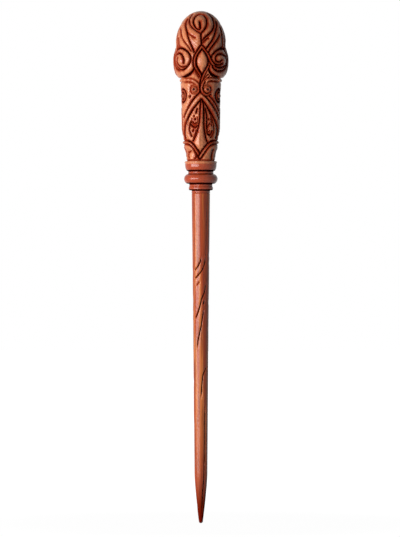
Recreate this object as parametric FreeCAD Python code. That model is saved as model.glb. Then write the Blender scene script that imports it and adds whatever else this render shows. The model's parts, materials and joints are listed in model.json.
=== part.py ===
"""A carved wooden wand, built up from turned and carved pieces.

The wand hangs tip down. Z runs along its axis, from the tip up to the head, and z = 0 is the underside
of the collar's lowest bead, where the wand seats in the hole of a stand. The carving's front faces -Y.

The shaft's tenon passes up through a stack of turned rings into a socket in the grip. The head sits on
the grip, on a fluted dowel that round-headed pegs lock from outside. A steel pin stiffens the tenon.
All sizes are in millimetres.
"""

import FreeCAD
import Part
import math
import os

from FreeCAD import Vector

# Fits
GLUE_GAP = 0.05            # radial clearance of every glued cylinder in its hole
GLUE_ROOM = 0.5            # free length left at the blind end of a glued hole
EDGE_BREAK = 0.3           # radius that sandpaper leaves on a turned edge

# Shaft
SHAFT_LENGTH = 212.8       # from the shoulder under the neck ring to the tip
SHAFT_TOP_RADIUS = 5.9     # at the shoulder
SHAFT_MIDDLE_RADIUS = 5.0  # at the end of the faster taper
SHAFT_MIDDLE_DROP = 82.0   # that end's distance below the shoulder
SHAFT_HEEL_RADIUS = 4.3    # where the point starts
POINT_LENGTH = 33.0        # from there to the tip
NOSE_RADIUS = 1.3          # of the blunt tip

# Tenon and its steel pin
TENON_RADIUS = 4.0
TENON_CHAMFER = 0.6
CORE_PIN_RADIUS = 1.5
CORE_PIN_LENGTH = 80.0
CORE_PIN_CHAMFER = 0.3

# Collar rings, from the lowest up
NECK_RING_RADIUS = 6.0
NECK_RING_HEIGHT = 1.7
SMALL_BEAD_RADIUS = 7.85
SMALL_BEAD_HEIGHT = 2.3
SEAT_RADIUS = 6.95         # outside of the flat underside that rests on a stand
SEAT_RECESS_DEPTH = 0.15   # of the glue recess inside that flat, over the neck ring
LOWER_SPACER_RADIUS = 7.5
LOWER_SPACER_HEIGHT = 1.9
LARGE_BEAD_RADIUS = 10.8
LARGE_BEAD_HEIGHT = 6.3
LARGE_BEAD_FOOT_RADIUS = 8.0
UPPER_SPACER_RADIUS = 8.2
UPPER_SPACER_HEIGHT = 2.0
CUP_RADIUS = 10.2
CUP_HEIGHT = 6.2
CUP_FOOT_RADIUS = 8.4
CUP_LIP_HEIGHT = 1.5       # the half-round lip at the cup's top
CUP_LIP_STAND_OUT = 0.25   # how far that lip stands out of the cup's wall

# Grip
GRIP_HEIGHT = 53.5
GRIP_FOOT_RADIUS = 9.6
GRIP_FOOT_HEIGHT = 3.0     # of the straight foot above the cup
GARLAND_RADIUS = 11.55     # the swelling that carries the garland
GARLAND_HEIGHT = 11.9      # of its middle, above the grip's base
BELLY_RADIUS = 12.6        # lower end of the hand's part
BELLY_RISE = 12.0          # from the garland's middle up to there
THROAT_RADIUS = 12.95      # upper end of the hand's part
WAIST_RADIUS = 13.6        # the band under the head
WAIST_HEIGHT = 2.4
WAIST_COVE = 1.6           # height of the hollow curve under the band

# Head
HEAD_HEIGHT = 43.3
HEAD_FOOT_RADIUS = 13.3
CHEEK_RADIUS = 17.85       # the widest place, at the volutes
CHEEK_HEIGHT = 11.3        # of that place above the head's base
DOME_RADIUS = 16.2         # at the dome's spring line
DOME_HEIGHT = 21.2

# Joint between head and grip
DOWEL_RADIUS = 6.0
DOWEL_IN_GRIP = 20.0
DOWEL_IN_HEAD = 20.0
DOWEL_CHAMFER = 1.0
FLUTE_COUNT = 12
FLUTE_RADIUS = 0.5
VENT_RADIUS = 1.5          # drilled between the two sockets, so that air and glue can leave
SOCKET_WEB = 4.5           # wood left between the two sockets

# Pegs with round heads, which lock the dowel
PEG_SHANK_RADIUS = 1.0
PEG_BITE = 1.6             # how far the shank reaches into the dowel
PEG_SINK = 0.9             # depth of the head's seat below the grip's surface
EYE_HEAD_RADIUS = 2.2
EYE_HEAD_HEIGHT = 1.4
EYE_TURN = 20.0            # degrees from the front or back to each eye peg
EYE_DROP = 7.6             # of its middle, below the head's base
SIDE_HEAD_RADIUS = 1.8
SIDE_HEAD_HEIGHT = 1.4
SIDE_TURN = 68.0           # degrees from the front or back to each side peg
SIDE_DROP = 11.4
DIMPLE_RADIUS = 0.75       # of the hole drilled in the middle of each head
DIMPLE_DEPTH = 0.6

# Carving: the main cuts of head and grip
CUT_WIDTH = 1.5
CUT_DEPTH = 1.2
SIDE_RING_RADIUS = 4.2     # of the cut round a side peg
TWIST_WIDTH = 1.2          # of the shaft's twisted cuts
TWIST_DEPTH = 0.7
TWISTS = ((0, 0), (128, 4), (236, -3))     # a turn, and a rise in percent of the shaft's length

# Plans of the cuts, as seen from the side that they face. Each is a chain of arcs: its first place, then one
# on the way and one at the end of each arc. A place is sideways and height, in percent: on the head of the
# cheek's radius and of the head's height, on the grip of the throat's radius and of the grip's height, and on
# the shaft of its top radius and of its length.
HEAD_FACE_CUTS = (
    ((2, 65), (17, 73), (21, 81), (16, 89), (0, 93), (-16, 90), (-25, 82), (-19, 75), (-3, 72)),
    ((2, 65), (1, 56), (4, 47)),
    ((1, 65), (-24, 72), (-38, 78), (-43, 86), (-31, 95)),
    ((29, 95), (46, 86), (48, 76), (34, 65), (5, 54)),
    ((50, 89), (58, 78), (54, 66), (41, 53), (19, 42)),
    ((-43, 91), (-55, 78), (-50, 64), (-40, 51), (-25, 38)),
    ((-84, 43), (-54, 40), (-37, 26), (-46, 18), (-67, 11), (-86, 16), (-92, 27), (-78, 36), (-62, 24)),
    ((86, 43), (57, 39), (40, 28), (46, 21), (64, 18), (76, 20), (82, 26)),
    ((84, 33), (91, 24), (82, 16), (68, 12), (53, 15)),
    ((6, 42), (-17, 23), (6, 4)),
    ((6, 42), (28, 23), (6, 4)),
    ((-70, 78), (-68, 60), (-47, 47)),
    ((71, 68), (61, 57), (43, 47)),
)
HEAD_THROATS = (
    ((-66, -1), (-34, 6.5), (-25, 16), (-17, 9.5), (-5, -1)),
    ((66, -1), (41, 6.5), (34, 17), (20, 9), (8, -1)),
)
HEAD_FLANK_CUTS = (
    ((0, 50), (-19, 25), (0, 3)),
    ((0, 50), (19, 25), (0, 3)),
    ((-4, 80), (-20, 66), (-29, 48)),
    ((4, 80), (20, 66), (29, 48)),
)
GRIP_FACE_CUTS = (
    ((5, 103), (0, 94), (-3, 81)),
    ((-5, 82), (-54, 68), (-84, 51)),
    ((0, 83), (53, 70), (85, 51)),
    ((4, 74), (-50, 59), (-77, 37), (-70, 27), (-42, 24)),
    ((6, 74), (52, 59), (77, 37), (70, 27), (36, 23)),
    ((2, 72), (-8, 46), (-41, 24)),
    ((8, 72), (16, 46), (36, 22)),
    ((-74, 20), (-44, 16), (-7, 3)),
    ((75, 20), (45, 17), (2, 3)),
)
GRIP_FLANK_CUTS = (
    ((0, 69), (-24, 47), (0, 26)),
    ((0, 69), (24, 47), (0, 26)),
)
SHAFT_CUTS = (
    ((2, 81), (-12, 79), (-66, 76.5)),
    ((46, 78.5), (8, 76.5), (-62, 74)),
    ((50, 71), (10, 67.5), (-20, 64.5), (-40, 62.5), (-60, 61)),
    ((34, 64.5), (2, 60), (-42, 51.5)),
    ((56, 47.5), (20, 43), (4, 37)),
    ((46, 34.5), (42, 23), (20, 9)),
)

# Places that follow from the sizes
SHOULDER_Z = -NECK_RING_HEIGHT
SMALL_BEAD_Z = 0.0
LOWER_SPACER_Z = SMALL_BEAD_Z + SMALL_BEAD_HEIGHT
LARGE_BEAD_Z = LOWER_SPACER_Z + LOWER_SPACER_HEIGHT
UPPER_SPACER_Z = LARGE_BEAD_Z + LARGE_BEAD_HEIGHT
CUP_Z = UPPER_SPACER_Z + UPPER_SPACER_HEIGHT
GRIP_Z = CUP_Z + CUP_HEIGHT
HEAD_Z = GRIP_Z + GRIP_HEIGHT
DOWEL_SOCKET_Z = HEAD_Z - DOWEL_IN_GRIP - GLUE_ROOM
TENON_SOCKET_TOP_Z = DOWEL_SOCKET_Z - SOCKET_WEB
TENON_TOP_Z = TENON_SOCKET_TOP_Z - GLUE_ROOM
RING_BORE_RADIUS = TENON_RADIUS + GLUE_GAP
AXIS = Vector(0, 0, 1)


def at(radius, height):
    """A point of a turned outline."""
    return Vector(radius, 0, height)


def line(start, end):
    return Part.LineSegment(start, end).toShape()


def chain(*points):
    """Straight edges from point to point."""
    return [line(a, b) for a, b in zip(points, points[1:])]


def quarter(start, corner, end):
    """A quarter ellipse from start to end, tangent to the lines from each to the corner."""
    curve = Part.BezierCurve()
    curve.setPoles([start, corner, end])
    curve.setWeight(2, math.sqrt(0.5))
    return curve.toShape()


def ogee(start, end):
    """An S curve that leaves and arrives along the axis."""
    middle = (start.z + end.z) / 2
    curve = Part.BezierCurve()
    curve.setPoles([start, at(start.x, middle), at(end.x, middle), end])
    return curve.toShape()


def turned(edges):
    """The solid that a closed outline beside the axis sweeps out in one turn."""
    face = Part.Face(Part.Wire(Part.__sortEdges__(edges)))
    return face.revolve(Vector(0, 0, 0), AXIS, 360)


def rod(radius, bottom, top, chamfer=0.0):
    """A round rod on the axis, with both ends chamfered."""
    if not chamfer:
        return turned(chain(at(0, bottom), at(radius, bottom), at(radius, top), at(0, top), at(0, bottom)))
    return turned(chain(
        at(0, bottom),
        at(radius - chamfer, bottom),
        at(radius, bottom + chamfer),
        at(radius, top - chamfer),
        at(radius - chamfer, top),
        at(0, top),
        at(0, bottom),
    ))


def ring(bottom, top, foot, rim, outside):
    """A ring on the tenon: a bore, flat ends out to radius foot below and rim above, and outside edges."""
    ends = chain(at(rim, top), at(RING_BORE_RADIUS, top), at(RING_BORE_RADIUS, bottom), at(foot, bottom))
    return turned(ends + outside)


# Shaft and its steel pin

def shaft_form(inset):
    """The shaft's turned form below its shoulder, or the core that lies that much inside it."""
    middle_z = SHOULDER_Z - SHAFT_MIDDLE_DROP
    tip_z = SHOULDER_Z - SHAFT_LENGTH
    heel_z = tip_z + POINT_LENGTH
    top, middle, heel, nose_radius = (
        radius - inset for radius in (SHAFT_TOP_RADIUS, SHAFT_MIDDLE_RADIUS, SHAFT_HEEL_RADIUS, NOSE_RADIUS)
    )
    end_z = tip_z + inset
    nose = at(nose_radius, tip_z + NOSE_RADIUS)
    point = Part.BezierCurve()
    point.setPoles([at(heel, heel_z), at(heel, heel_z - POINT_LENGTH / 4), nose])
    return turned([
        *chain(at(0, end_z), at(0, SHOULDER_Z), at(top, SHOULDER_Z), at(middle, middle_z), at(heel, heel_z)),
        point.toShape(),
        quarter(nose, at(nose_radius, end_z), at(0, end_z)),
    ])


def shaft():
    """The tapered shaft with its twisted cuts, and its tenon, drilled from above for the steel pin."""
    tip_z = SHOULDER_Z - SHAFT_LENGTH
    cuts = []
    for turn, rise in TWISTS:
        base = tip_z + SHAFT_LENGTH * rise / 100
        cuts += slots(SHAFT_CUTS, TWIST_WIDTH, SHAFT_TOP_RADIUS, base, SHAFT_LENGTH, turn)
    below = carved(shaft_form(0), shaft_form(TWIST_DEPTH), cuts)
    tenon = rod(TENON_RADIUS, SHOULDER_Z - TENON_CHAMFER, TENON_TOP_Z, TENON_CHAMFER)
    hole_bottom = TENON_TOP_Z - CORE_PIN_LENGTH - GLUE_ROOM
    hole = rod(CORE_PIN_RADIUS + GLUE_GAP, hole_bottom, TENON_TOP_Z + GLUE_ROOM)
    return below.fuse(tenon).removeSplitter().cut(hole)


def core_pin():
    """The steel pin, flush with the tenon's end."""
    return rod(CORE_PIN_RADIUS, TENON_TOP_Z - CORE_PIN_LENGTH, TENON_TOP_Z, CORE_PIN_CHAMFER)


# Collar rings

def neck_ring():
    """The lowest ring, between the shaft's shoulder and the small bead. It fills a stand's hole."""
    outside = chain(at(NECK_RING_RADIUS, SHOULDER_Z), at(NECK_RING_RADIUS, SMALL_BEAD_Z))
    return ring(SHOULDER_Z, SMALL_BEAD_Z, NECK_RING_RADIUS, NECK_RING_RADIUS, outside)


def small_bead():
    """The lowest bead. Its flat underside stands out round the neck ring and rests on a stand."""
    top = LOWER_SPACER_Z
    widest = SMALL_BEAD_Z + SMALL_BEAD_HEIGHT / 2
    bead = ring(SMALL_BEAD_Z, top, SEAT_RADIUS, LOWER_SPACER_RADIUS, [
        quarter(at(SEAT_RADIUS, SMALL_BEAD_Z), at(SMALL_BEAD_RADIUS, SMALL_BEAD_Z),
                at(SMALL_BEAD_RADIUS, widest)),
        quarter(at(SMALL_BEAD_RADIUS, widest), at(SMALL_BEAD_RADIUS, top), at(LOWER_SPACER_RADIUS, top)),
    ])
    recess_radius = NECK_RING_RADIUS + GLUE_GAP
    return bead.cut(rod(recess_radius, SMALL_BEAD_Z - GLUE_ROOM, SMALL_BEAD_Z + SEAT_RECESS_DEPTH))


def lower_spacer():
    """A plain ring with broken edges, between the beads."""
    return spacer(LOWER_SPACER_Z, LARGE_BEAD_Z, LOWER_SPACER_RADIUS)


def large_bead():
    """The widest ring: a full round bead."""
    top = UPPER_SPACER_Z
    widest = LARGE_BEAD_Z + LARGE_BEAD_HEIGHT / 2
    foot = LARGE_BEAD_FOOT_RADIUS
    return ring(LARGE_BEAD_Z, top, foot, foot, [
        quarter(at(foot, LARGE_BEAD_Z), at(LARGE_BEAD_RADIUS, LARGE_BEAD_Z), at(LARGE_BEAD_RADIUS, widest)),
        quarter(at(LARGE_BEAD_RADIUS, widest), at(LARGE_BEAD_RADIUS, top), at(foot, top)),
    ])


def upper_spacer():
    """A plain ring with broken edges, between the large bead and the cup."""
    return spacer(UPPER_SPACER_Z, CUP_Z, UPPER_SPACER_RADIUS)


def spacer(bottom, top, radius):
    """A plain ring whose outer edges are rounded off."""
    inner = radius - EDGE_BREAK
    return ring(bottom, top, inner, inner, [
        quarter(at(inner, bottom), at(radius, bottom), at(radius, bottom + EDGE_BREAK)),
        line(at(radius, bottom + EDGE_BREAK), at(radius, top - EDGE_BREAK)),
        quarter(at(radius, top - EDGE_BREAK), at(radius, top), at(inner, top)),
    ])


def collar_cup():
    """The cup under the grip: a bowl with a half-round lip."""
    lip_radius = CUP_RADIUS + CUP_LIP_STAND_OUT
    lip_bottom = GRIP_Z - CUP_LIP_HEIGHT
    lip_middle = GRIP_Z - CUP_LIP_HEIGHT / 2
    rim = lip_radius - CUP_LIP_HEIGHT / 2
    return ring(CUP_Z, GRIP_Z, CUP_FOOT_RADIUS, rim, [
        quarter(at(CUP_FOOT_RADIUS, CUP_Z), at(CUP_RADIUS, CUP_Z), at(CUP_RADIUS, lip_bottom)),
        quarter(at(CUP_RADIUS, lip_bottom), at(lip_radius, lip_bottom), at(lip_radius, lip_middle)),
        quarter(at(lip_radius, lip_middle), at(lip_radius, GRIP_Z), at(rim, GRIP_Z)),
    ])


# Carving

def slot(path, width, turn):
    """What a cut takes from the axis outwards: a path in the XZ plane, stroked to the cut's width.

    A turn of 0 faces the front, and it grows towards +X.
    """
    return outwards(path.makeOffset2D(width / 2, fill=True), turn)


def outwards(face, turn):
    return face.extrude(Vector(0, -2 * CHEEK_RADIUS, 0)).rotated(Vector(0, 0, 0), AXIS, turn)


def plan_arcs(plan, wide, base, tall):
    """A chain of arcs from a plan in percent."""
    spots = [at(wide * across / 100, base + tall * up / 100) for across, up in plan]
    return [Part.Arc(*spots[i:i + 3]).toShape() for i in range(0, len(spots) - 2, 2)]


def plan_path(plan, wide, base, tall):
    return Part.Wire(plan_arcs(plan, wide, base, tall))


def hollow(plan, wide, base, tall, turn):
    """What a wide cut takes: a plan whose two ends are joined below the piece."""
    arcs = plan_arcs(plan, wide, base, tall)
    closing = line(arcs[-1].Vertexes[-1].Point, arcs[0].Vertexes[0].Point)
    return outwards(Part.Face(Part.Wire([*arcs, closing])), turn)


def slots(plans, width, wide, base, tall, turn):
    return [slot(plan_path(plan, wide, base, tall), width, turn) for plan in plans]


def ring_slots(radius, height, face, turn):
    """A round cut on each side of a face's middle."""
    discs = [
        Part.makeCylinder(edge, 2 * CHEEK_RADIUS, at(0, height), Vector(0, -1, 0))
        for edge in (radius + CUT_WIDTH / 2, radius - CUT_WIDTH / 2)
    ]
    return [discs[0].cut(discs[1]).rotated(Vector(0, 0, 0), AXIS, face + hand * turn) for hand in (-1, 1)]


def carved(whole, core, cuts):
    """A turned piece with its cuts, which stop at its core."""
    return whole.cut(cuts).fuse(core).removeSplitter()


# Grip and head

def grip_form(inset):
    """The grip's turned form, or the core that lies that much inside it."""
    foot_top = GRIP_Z + GRIP_FOOT_HEIGHT
    garland_z = GRIP_Z + GARLAND_HEIGHT
    belly_z = garland_z + BELLY_RISE
    waist_z = HEAD_Z - WAIST_HEIGHT
    throat_z = waist_z - WAIST_COVE
    radii = (GRIP_FOOT_RADIUS, GARLAND_RADIUS, BELLY_RADIUS, THROAT_RADIUS, WAIST_RADIUS)
    foot, garland, belly, throat, waist = (radius - inset for radius in radii)
    rim = waist - EDGE_BREAK
    return turned([
        *chain(at(0, GRIP_Z), at(foot, GRIP_Z), at(foot, foot_top)),
        ogee(at(foot, foot_top), at(garland, garland_z)),
        ogee(at(garland, garland_z), at(belly, belly_z)),
        line(at(belly, belly_z), at(throat, throat_z)),
        quarter(at(throat, throat_z), at(throat, waist_z), at(waist, waist_z)),
        line(at(waist, waist_z), at(waist, HEAD_Z - EDGE_BREAK)),
        quarter(at(waist, HEAD_Z - EDGE_BREAK), at(waist, HEAD_Z), at(rim, HEAD_Z)),
        *chain(at(rim, HEAD_Z), at(0, HEAD_Z), at(0, GRIP_Z)),
    ])


def grip():
    """The part for the hand, with a socket at each end, a vent between them and the pegs' holes."""
    holes = [
        rod(RING_BORE_RADIUS, GRIP_Z - GLUE_ROOM, TENON_SOCKET_TOP_Z),
        rod(DOWEL_RADIUS + GLUE_GAP, DOWEL_SOCKET_Z, HEAD_Z + GLUE_ROOM),
        rod(VENT_RADIUS, GRIP_Z, HEAD_Z),
    ]
    cuts = []
    for face in (0, 180):
        cuts += slots(GRIP_FACE_CUTS, CUT_WIDTH, THROAT_RADIUS, GRIP_Z, GRIP_HEIGHT, face)
        cuts += slots(GRIP_FLANK_CUTS, CUT_WIDTH, THROAT_RADIUS, GRIP_Z, GRIP_HEIGHT, face + 90)
        cuts += ring_slots(SIDE_RING_RADIUS, HEAD_Z - SIDE_DROP, face, SIDE_TURN)
    return carved(grip_form(0), grip_form(CUT_DEPTH), cuts).cut(holes + peg_holes())


def head_form(inset):
    """The head's turned form, or the core that lies that much inside it: a dome above wide cheeks."""
    cheek_z = HEAD_Z + CHEEK_HEIGHT
    top = HEAD_Z + HEAD_HEIGHT - inset
    spring_z = HEAD_Z + HEAD_HEIGHT - DOME_HEIGHT
    foot, cheek, dome = (radius - inset for radius in (HEAD_FOOT_RADIUS, CHEEK_RADIUS, DOME_RADIUS))
    return turned([
        *chain(at(0, top), at(0, HEAD_Z), at(foot, HEAD_Z)),
        quarter(at(foot, HEAD_Z), at(cheek, HEAD_Z), at(cheek, cheek_z)),
        ogee(at(cheek, cheek_z), at(dome, spring_z)),
        quarter(at(dome, spring_z), at(dome, top), at(0, top)),
    ])


def head():
    """The carved head, with a blind socket for the dowel."""
    cuts = []
    for face in (0, 180):
        cuts += slots(HEAD_FACE_CUTS, CUT_WIDTH, CHEEK_RADIUS, HEAD_Z, HEAD_HEIGHT, face)
        cuts += slots(HEAD_FLANK_CUTS, CUT_WIDTH, CHEEK_RADIUS, HEAD_Z, HEAD_HEIGHT, face + 90)
        cuts += [hollow(plan, CHEEK_RADIUS, HEAD_Z, HEAD_HEIGHT, face) for plan in HEAD_THROATS]
    socket_top = HEAD_Z + DOWEL_IN_HEAD + GLUE_ROOM
    socket = rod(DOWEL_RADIUS + GLUE_GAP, HEAD_Z - GLUE_ROOM, socket_top)
    return carved(head_form(0), head_form(CUT_DEPTH), cuts).cut(socket)


def head_dowel():
    """The fluted dowel that joins head and grip, drilled across for the pegs."""
    bottom = HEAD_Z - DOWEL_IN_GRIP
    top = HEAD_Z + DOWEL_IN_HEAD
    flute = Part.makeCylinder(FLUTE_RADIUS, top - bottom, Vector(DOWEL_RADIUS, 0, bottom))
    flutes = []
    for i in range(FLUTE_COUNT):
        turn = (i + 0.5) * 360 / FLUTE_COUNT
        flutes.append(flute.rotated(Vector(0, 0, 0), AXIS, turn))
    return rod(DOWEL_RADIUS, bottom, top, DOWEL_CHAMFER).cut(flutes + peg_holes())


# Pegs

def throat_radius_at(height):
    """The grip's radius beside a peg, between its belly and its throat."""
    belly_z = GRIP_Z + GARLAND_HEIGHT + BELLY_RISE
    throat_z = HEAD_Z - WAIST_HEIGHT - WAIST_COVE
    share = (height - belly_z) / (throat_z - belly_z)
    return BELLY_RADIUS + share * (THROAT_RADIUS - BELLY_RADIUS)


def placed(shape, height, turn):
    """A shape made along +Z from the axis, laid out from the wand's axis at a height.

    A turn of 0 points it to the front, and it grows towards +X.
    """
    laid = shape.rotated(Vector(0, 0, 0), Vector(0, 1, 0), 90)
    return laid.rotated(Vector(0, 0, 0), AXIS, turn - 90).translated(Vector(0, 0, height))


def peg(head_radius, head_height, height):
    """A peg along +Z: a round shank from inside the dowel, and a domed head, dimpled, in its seat."""
    seat = throat_radius_at(height) - PEG_SINK
    start = DOWEL_RADIUS - PEG_BITE
    top = seat + head_height
    plain = turned([
        *chain(
            at(0, top),
            at(0, start),
            at(PEG_SHANK_RADIUS, start),
            at(PEG_SHANK_RADIUS, seat),
            at(head_radius, seat),
        ),
        quarter(at(head_radius, seat), at(head_radius, top), at(0, top)),
    ])
    return plain.cut(rod(DIMPLE_RADIUS, top - DIMPLE_DEPTH, top + DIMPLE_DEPTH))


def peg_hole(head_radius, height):
    """What is drilled for such a peg: its shank's hole and its head's flat seat."""
    seat = throat_radius_at(height) - PEG_SINK
    start = DOWEL_RADIUS - PEG_BITE
    outside = WAIST_RADIUS + PEG_SINK
    hole = rod(PEG_SHANK_RADIUS + GLUE_GAP, start, outside)
    return hole.fuse(rod(head_radius + GLUE_GAP, seat, outside))


def around(shape, height, turn):
    """The four places of a peg or its hole: a pair at the front and a pair at the back."""
    return [placed(shape, height, face + side * turn) for face in (0, 180) for side in (-1, 1)]


def peg_holes():
    """Every peg's hole, where it lies."""
    eye_z = HEAD_Z - EYE_DROP
    side_z = HEAD_Z - SIDE_DROP
    eyes = around(peg_hole(EYE_HEAD_RADIUS, eye_z), eye_z, EYE_TURN)
    sides = around(peg_hole(SIDE_HEAD_RADIUS, side_z), side_z, SIDE_TURN)
    return eyes + sides


def eye_pegs():
    """The four pegs that show as the eyes of the carved loops."""
    eye_z = HEAD_Z - EYE_DROP
    return Part.makeCompound(around(peg(EYE_HEAD_RADIUS, EYE_HEAD_HEIGHT, eye_z), eye_z, EYE_TURN))


def side_pegs():
    """The four pegs in the middle of the side rounds."""
    side_z = HEAD_Z - SIDE_DROP
    return Part.makeCompound(around(peg(SIDE_HEAD_RADIUS, SIDE_HEAD_HEIGHT, side_z), side_z, SIDE_TURN))


PIECES = {
    "shaft": shaft,
    "core_pin": core_pin,
    "neck_ring": neck_ring,
    "small_bead": small_bead,
    "lower_spacer": lower_spacer,
    "large_bead": large_bead,
    "upper_spacer": upper_spacer,
    "collar_cup": collar_cup,
    "grip": grip,
    "head": head,
    "head_dowel": head_dowel,
    "eye_pegs": eye_pegs,
    "side_pegs": side_pegs,
}


def main():
    os.makedirs("parts", exist_ok=True)
    for name, make in PIECES.items():
        shape = make()
        shape.exportStep(f"parts/{name}.step")
        print(f"{name}: {len(shape.Solids)} solid(s), {shape.Volume:.1f} mm3, valid {shape.isValid()}")


main()
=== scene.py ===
"""Dresses the carved wand: its carved head and grip, turned collar, twisted shaft and pegs.

Sizes are in metres, except on the carving's plans, which are in millimetres. The wand hangs tip down along
Z, and the carving's front faces -Y.
"""

import json
import math
from collections import namedtuple

import bmesh
import bpy
import numpy as np
from bpy.props import FloatProperty, FloatVectorProperty, PointerProperty
from mathutils import Matrix, Vector

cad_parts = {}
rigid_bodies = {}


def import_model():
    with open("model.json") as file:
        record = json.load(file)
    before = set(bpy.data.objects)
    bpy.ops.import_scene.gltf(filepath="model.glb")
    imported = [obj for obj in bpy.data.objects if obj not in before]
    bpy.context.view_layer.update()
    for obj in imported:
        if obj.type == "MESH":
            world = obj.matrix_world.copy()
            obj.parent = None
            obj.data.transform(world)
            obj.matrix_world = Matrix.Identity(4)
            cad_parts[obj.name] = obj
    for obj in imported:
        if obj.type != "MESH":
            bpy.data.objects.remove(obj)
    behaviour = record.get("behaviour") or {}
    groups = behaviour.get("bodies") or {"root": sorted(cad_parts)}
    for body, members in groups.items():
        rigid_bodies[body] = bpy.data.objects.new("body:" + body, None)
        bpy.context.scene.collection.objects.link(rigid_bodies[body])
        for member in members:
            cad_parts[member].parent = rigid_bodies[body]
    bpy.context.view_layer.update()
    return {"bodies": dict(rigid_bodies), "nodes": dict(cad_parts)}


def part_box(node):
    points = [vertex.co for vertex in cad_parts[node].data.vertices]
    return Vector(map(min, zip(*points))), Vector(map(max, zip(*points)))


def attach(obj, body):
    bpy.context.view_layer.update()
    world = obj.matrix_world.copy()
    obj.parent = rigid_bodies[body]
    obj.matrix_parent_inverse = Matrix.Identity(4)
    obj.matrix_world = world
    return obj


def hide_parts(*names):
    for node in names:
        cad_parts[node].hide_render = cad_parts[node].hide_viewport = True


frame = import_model()

bl_info = {
    "name": "Carved Wand",
    "version": (1, 0, 0),
    "blender": (4, 5, 0),
    "location": "3D View > Sidebar > Wand",
    "description": "Models and finishes a carved wooden wand round its frame",
    "category": "Object",
}

MM = 0.001
BODY = next(iter(frame["bodies"]))

# How finely the pieces are modelled: rows along a piece, and turns round it

HEAD_ROWS = 240
GRIP_ROWS = 236
HANDLE_TURNS = 400
SHAFT_ROWS = 590
SHAFT_TURNS = 164
RING_TURNS = 256
PEG_FACETS = 48
SAME_POINT = 2e-7              # how close two points are merged, in metres
CARVED_EDGE = 60               # degrees from which an edge of a carved piece stays sharp


# Places that come from the frame, in millimetres

def low(node):
    """The height of a node's underside."""
    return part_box(node)[0].z / MM


def high(node):
    """The height of a node's top."""
    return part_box(node)[1].z / MM


def radius_of(node):
    """The largest radius of a turned node."""
    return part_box(node)[1].x / MM


TIP_Z = low("shaft")
TENON_TOP_Z = high("shaft")
SHOULDER_Z = low("neck_ring")
GRIP_Z = low("grip")
HEAD_Z = low("head")
TOP_Z = high("head")
PEG_NODES = ("eye_pegs", "side_pegs")
PEG_Z = {node: (low(node) + high(node)) / 2 for node in PEG_NODES}
PEG_RADIUS = {node: (high(node) - low(node)) / 2 for node in PEG_NODES}


# Properties

def length(name, value, description):
    """A length in metres, given here in millimetres."""
    return FloatProperty(name=name, default=value * MM, unit="LENGTH", precision=5, description=description)


def colour(name, value, description):
    """A colour in linear light, with its alpha."""
    return FloatVectorProperty(name=name, default=value, size=4, subtype="COLOR", min=0, max=1,
                               description=description)


class WandSizes(bpy.types.PropertyGroup):
    """Sizes of the turned forms that the frame's boxes don't give."""

    tenon_radius: length("Tenon radius", 4.0, "Radius of the shaft's tenon")
    fit: length("Fit", 0.05, "Clearance of a glued cylinder in its hole")
    socket_web: length("Socket web", 4.5, "Wood between the grip's two sockets")
    glue_room: length("Glue room", 0.5, "Free length at the blind end of a socket")
    vent_radius: length("Vent radius", 1.5, "Radius of the hole between the sockets")
    shaft_top_radius: length("Shaft top radius", 5.9, "Radius of the shaft under the collar")
    shaft_middle_radius: length("Shaft middle radius", 5.0, "Radius where the faster taper ends")
    shaft_middle_drop: length("Shaft middle drop", 82.0, "Distance of that place below the shoulder")
    shaft_heel_radius: length("Shaft heel radius", 4.3, "Radius where the point starts")
    point_length: length("Point length", 33.0, "Length of the point")
    nose_radius: length("Nose radius", 1.3, "Radius of the blunt tip")
    grip_foot_radius: length("Grip foot radius", 9.6, "Radius of the grip's straight foot")
    grip_foot_height: length("Grip foot height", 3.0, "Height of that foot")
    garland_radius: length("Garland radius", 11.4, "Radius of the swelling under the garland")
    garland_height: length("Garland height", 11.9, "Height of its middle above the grip's base")
    belly_radius: length("Belly radius", 12.5, "Radius at the lower end of the hand's part")
    belly_rise: length("Belly rise", 12.0, "Height from the garland's middle to there")
    throat_radius: length("Throat radius", 12.9, "Radius at the upper end of the hand's part")
    waist_drop: length("Waist drop", 7.0, "Distance of that end below the head")
    waist_radius: length("Waist radius", 13.3, "Radius of the wood between grip and head")
    cheek_height: length("Cheek height", 11.3, "Height of the head's widest place above its base")
    dome_radius: length("Dome radius", 16.2, "Radius at the dome's spring line")
    dome_height: length("Dome height", 21.2, "Height of the dome")


class CarvingStyle(bpy.types.PropertyGroup):
    """How the knife worked."""

    cut_width: length("Cut width", 0.62, "Half the width of an ordinary cut")
    cut_depth: length("Cut depth", 0.95, "Depth of an ordinary cut")
    pillow_depth: length("Pillow depth", 0.62, "How far the wood rounds down beside a cut")
    pillow_reach: length("Pillow reach", 1.25, "Distance over which it rounds down")
    tremor: length("Tremor", 0.05, "Unevenness that the hand leaves in the surface")


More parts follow.
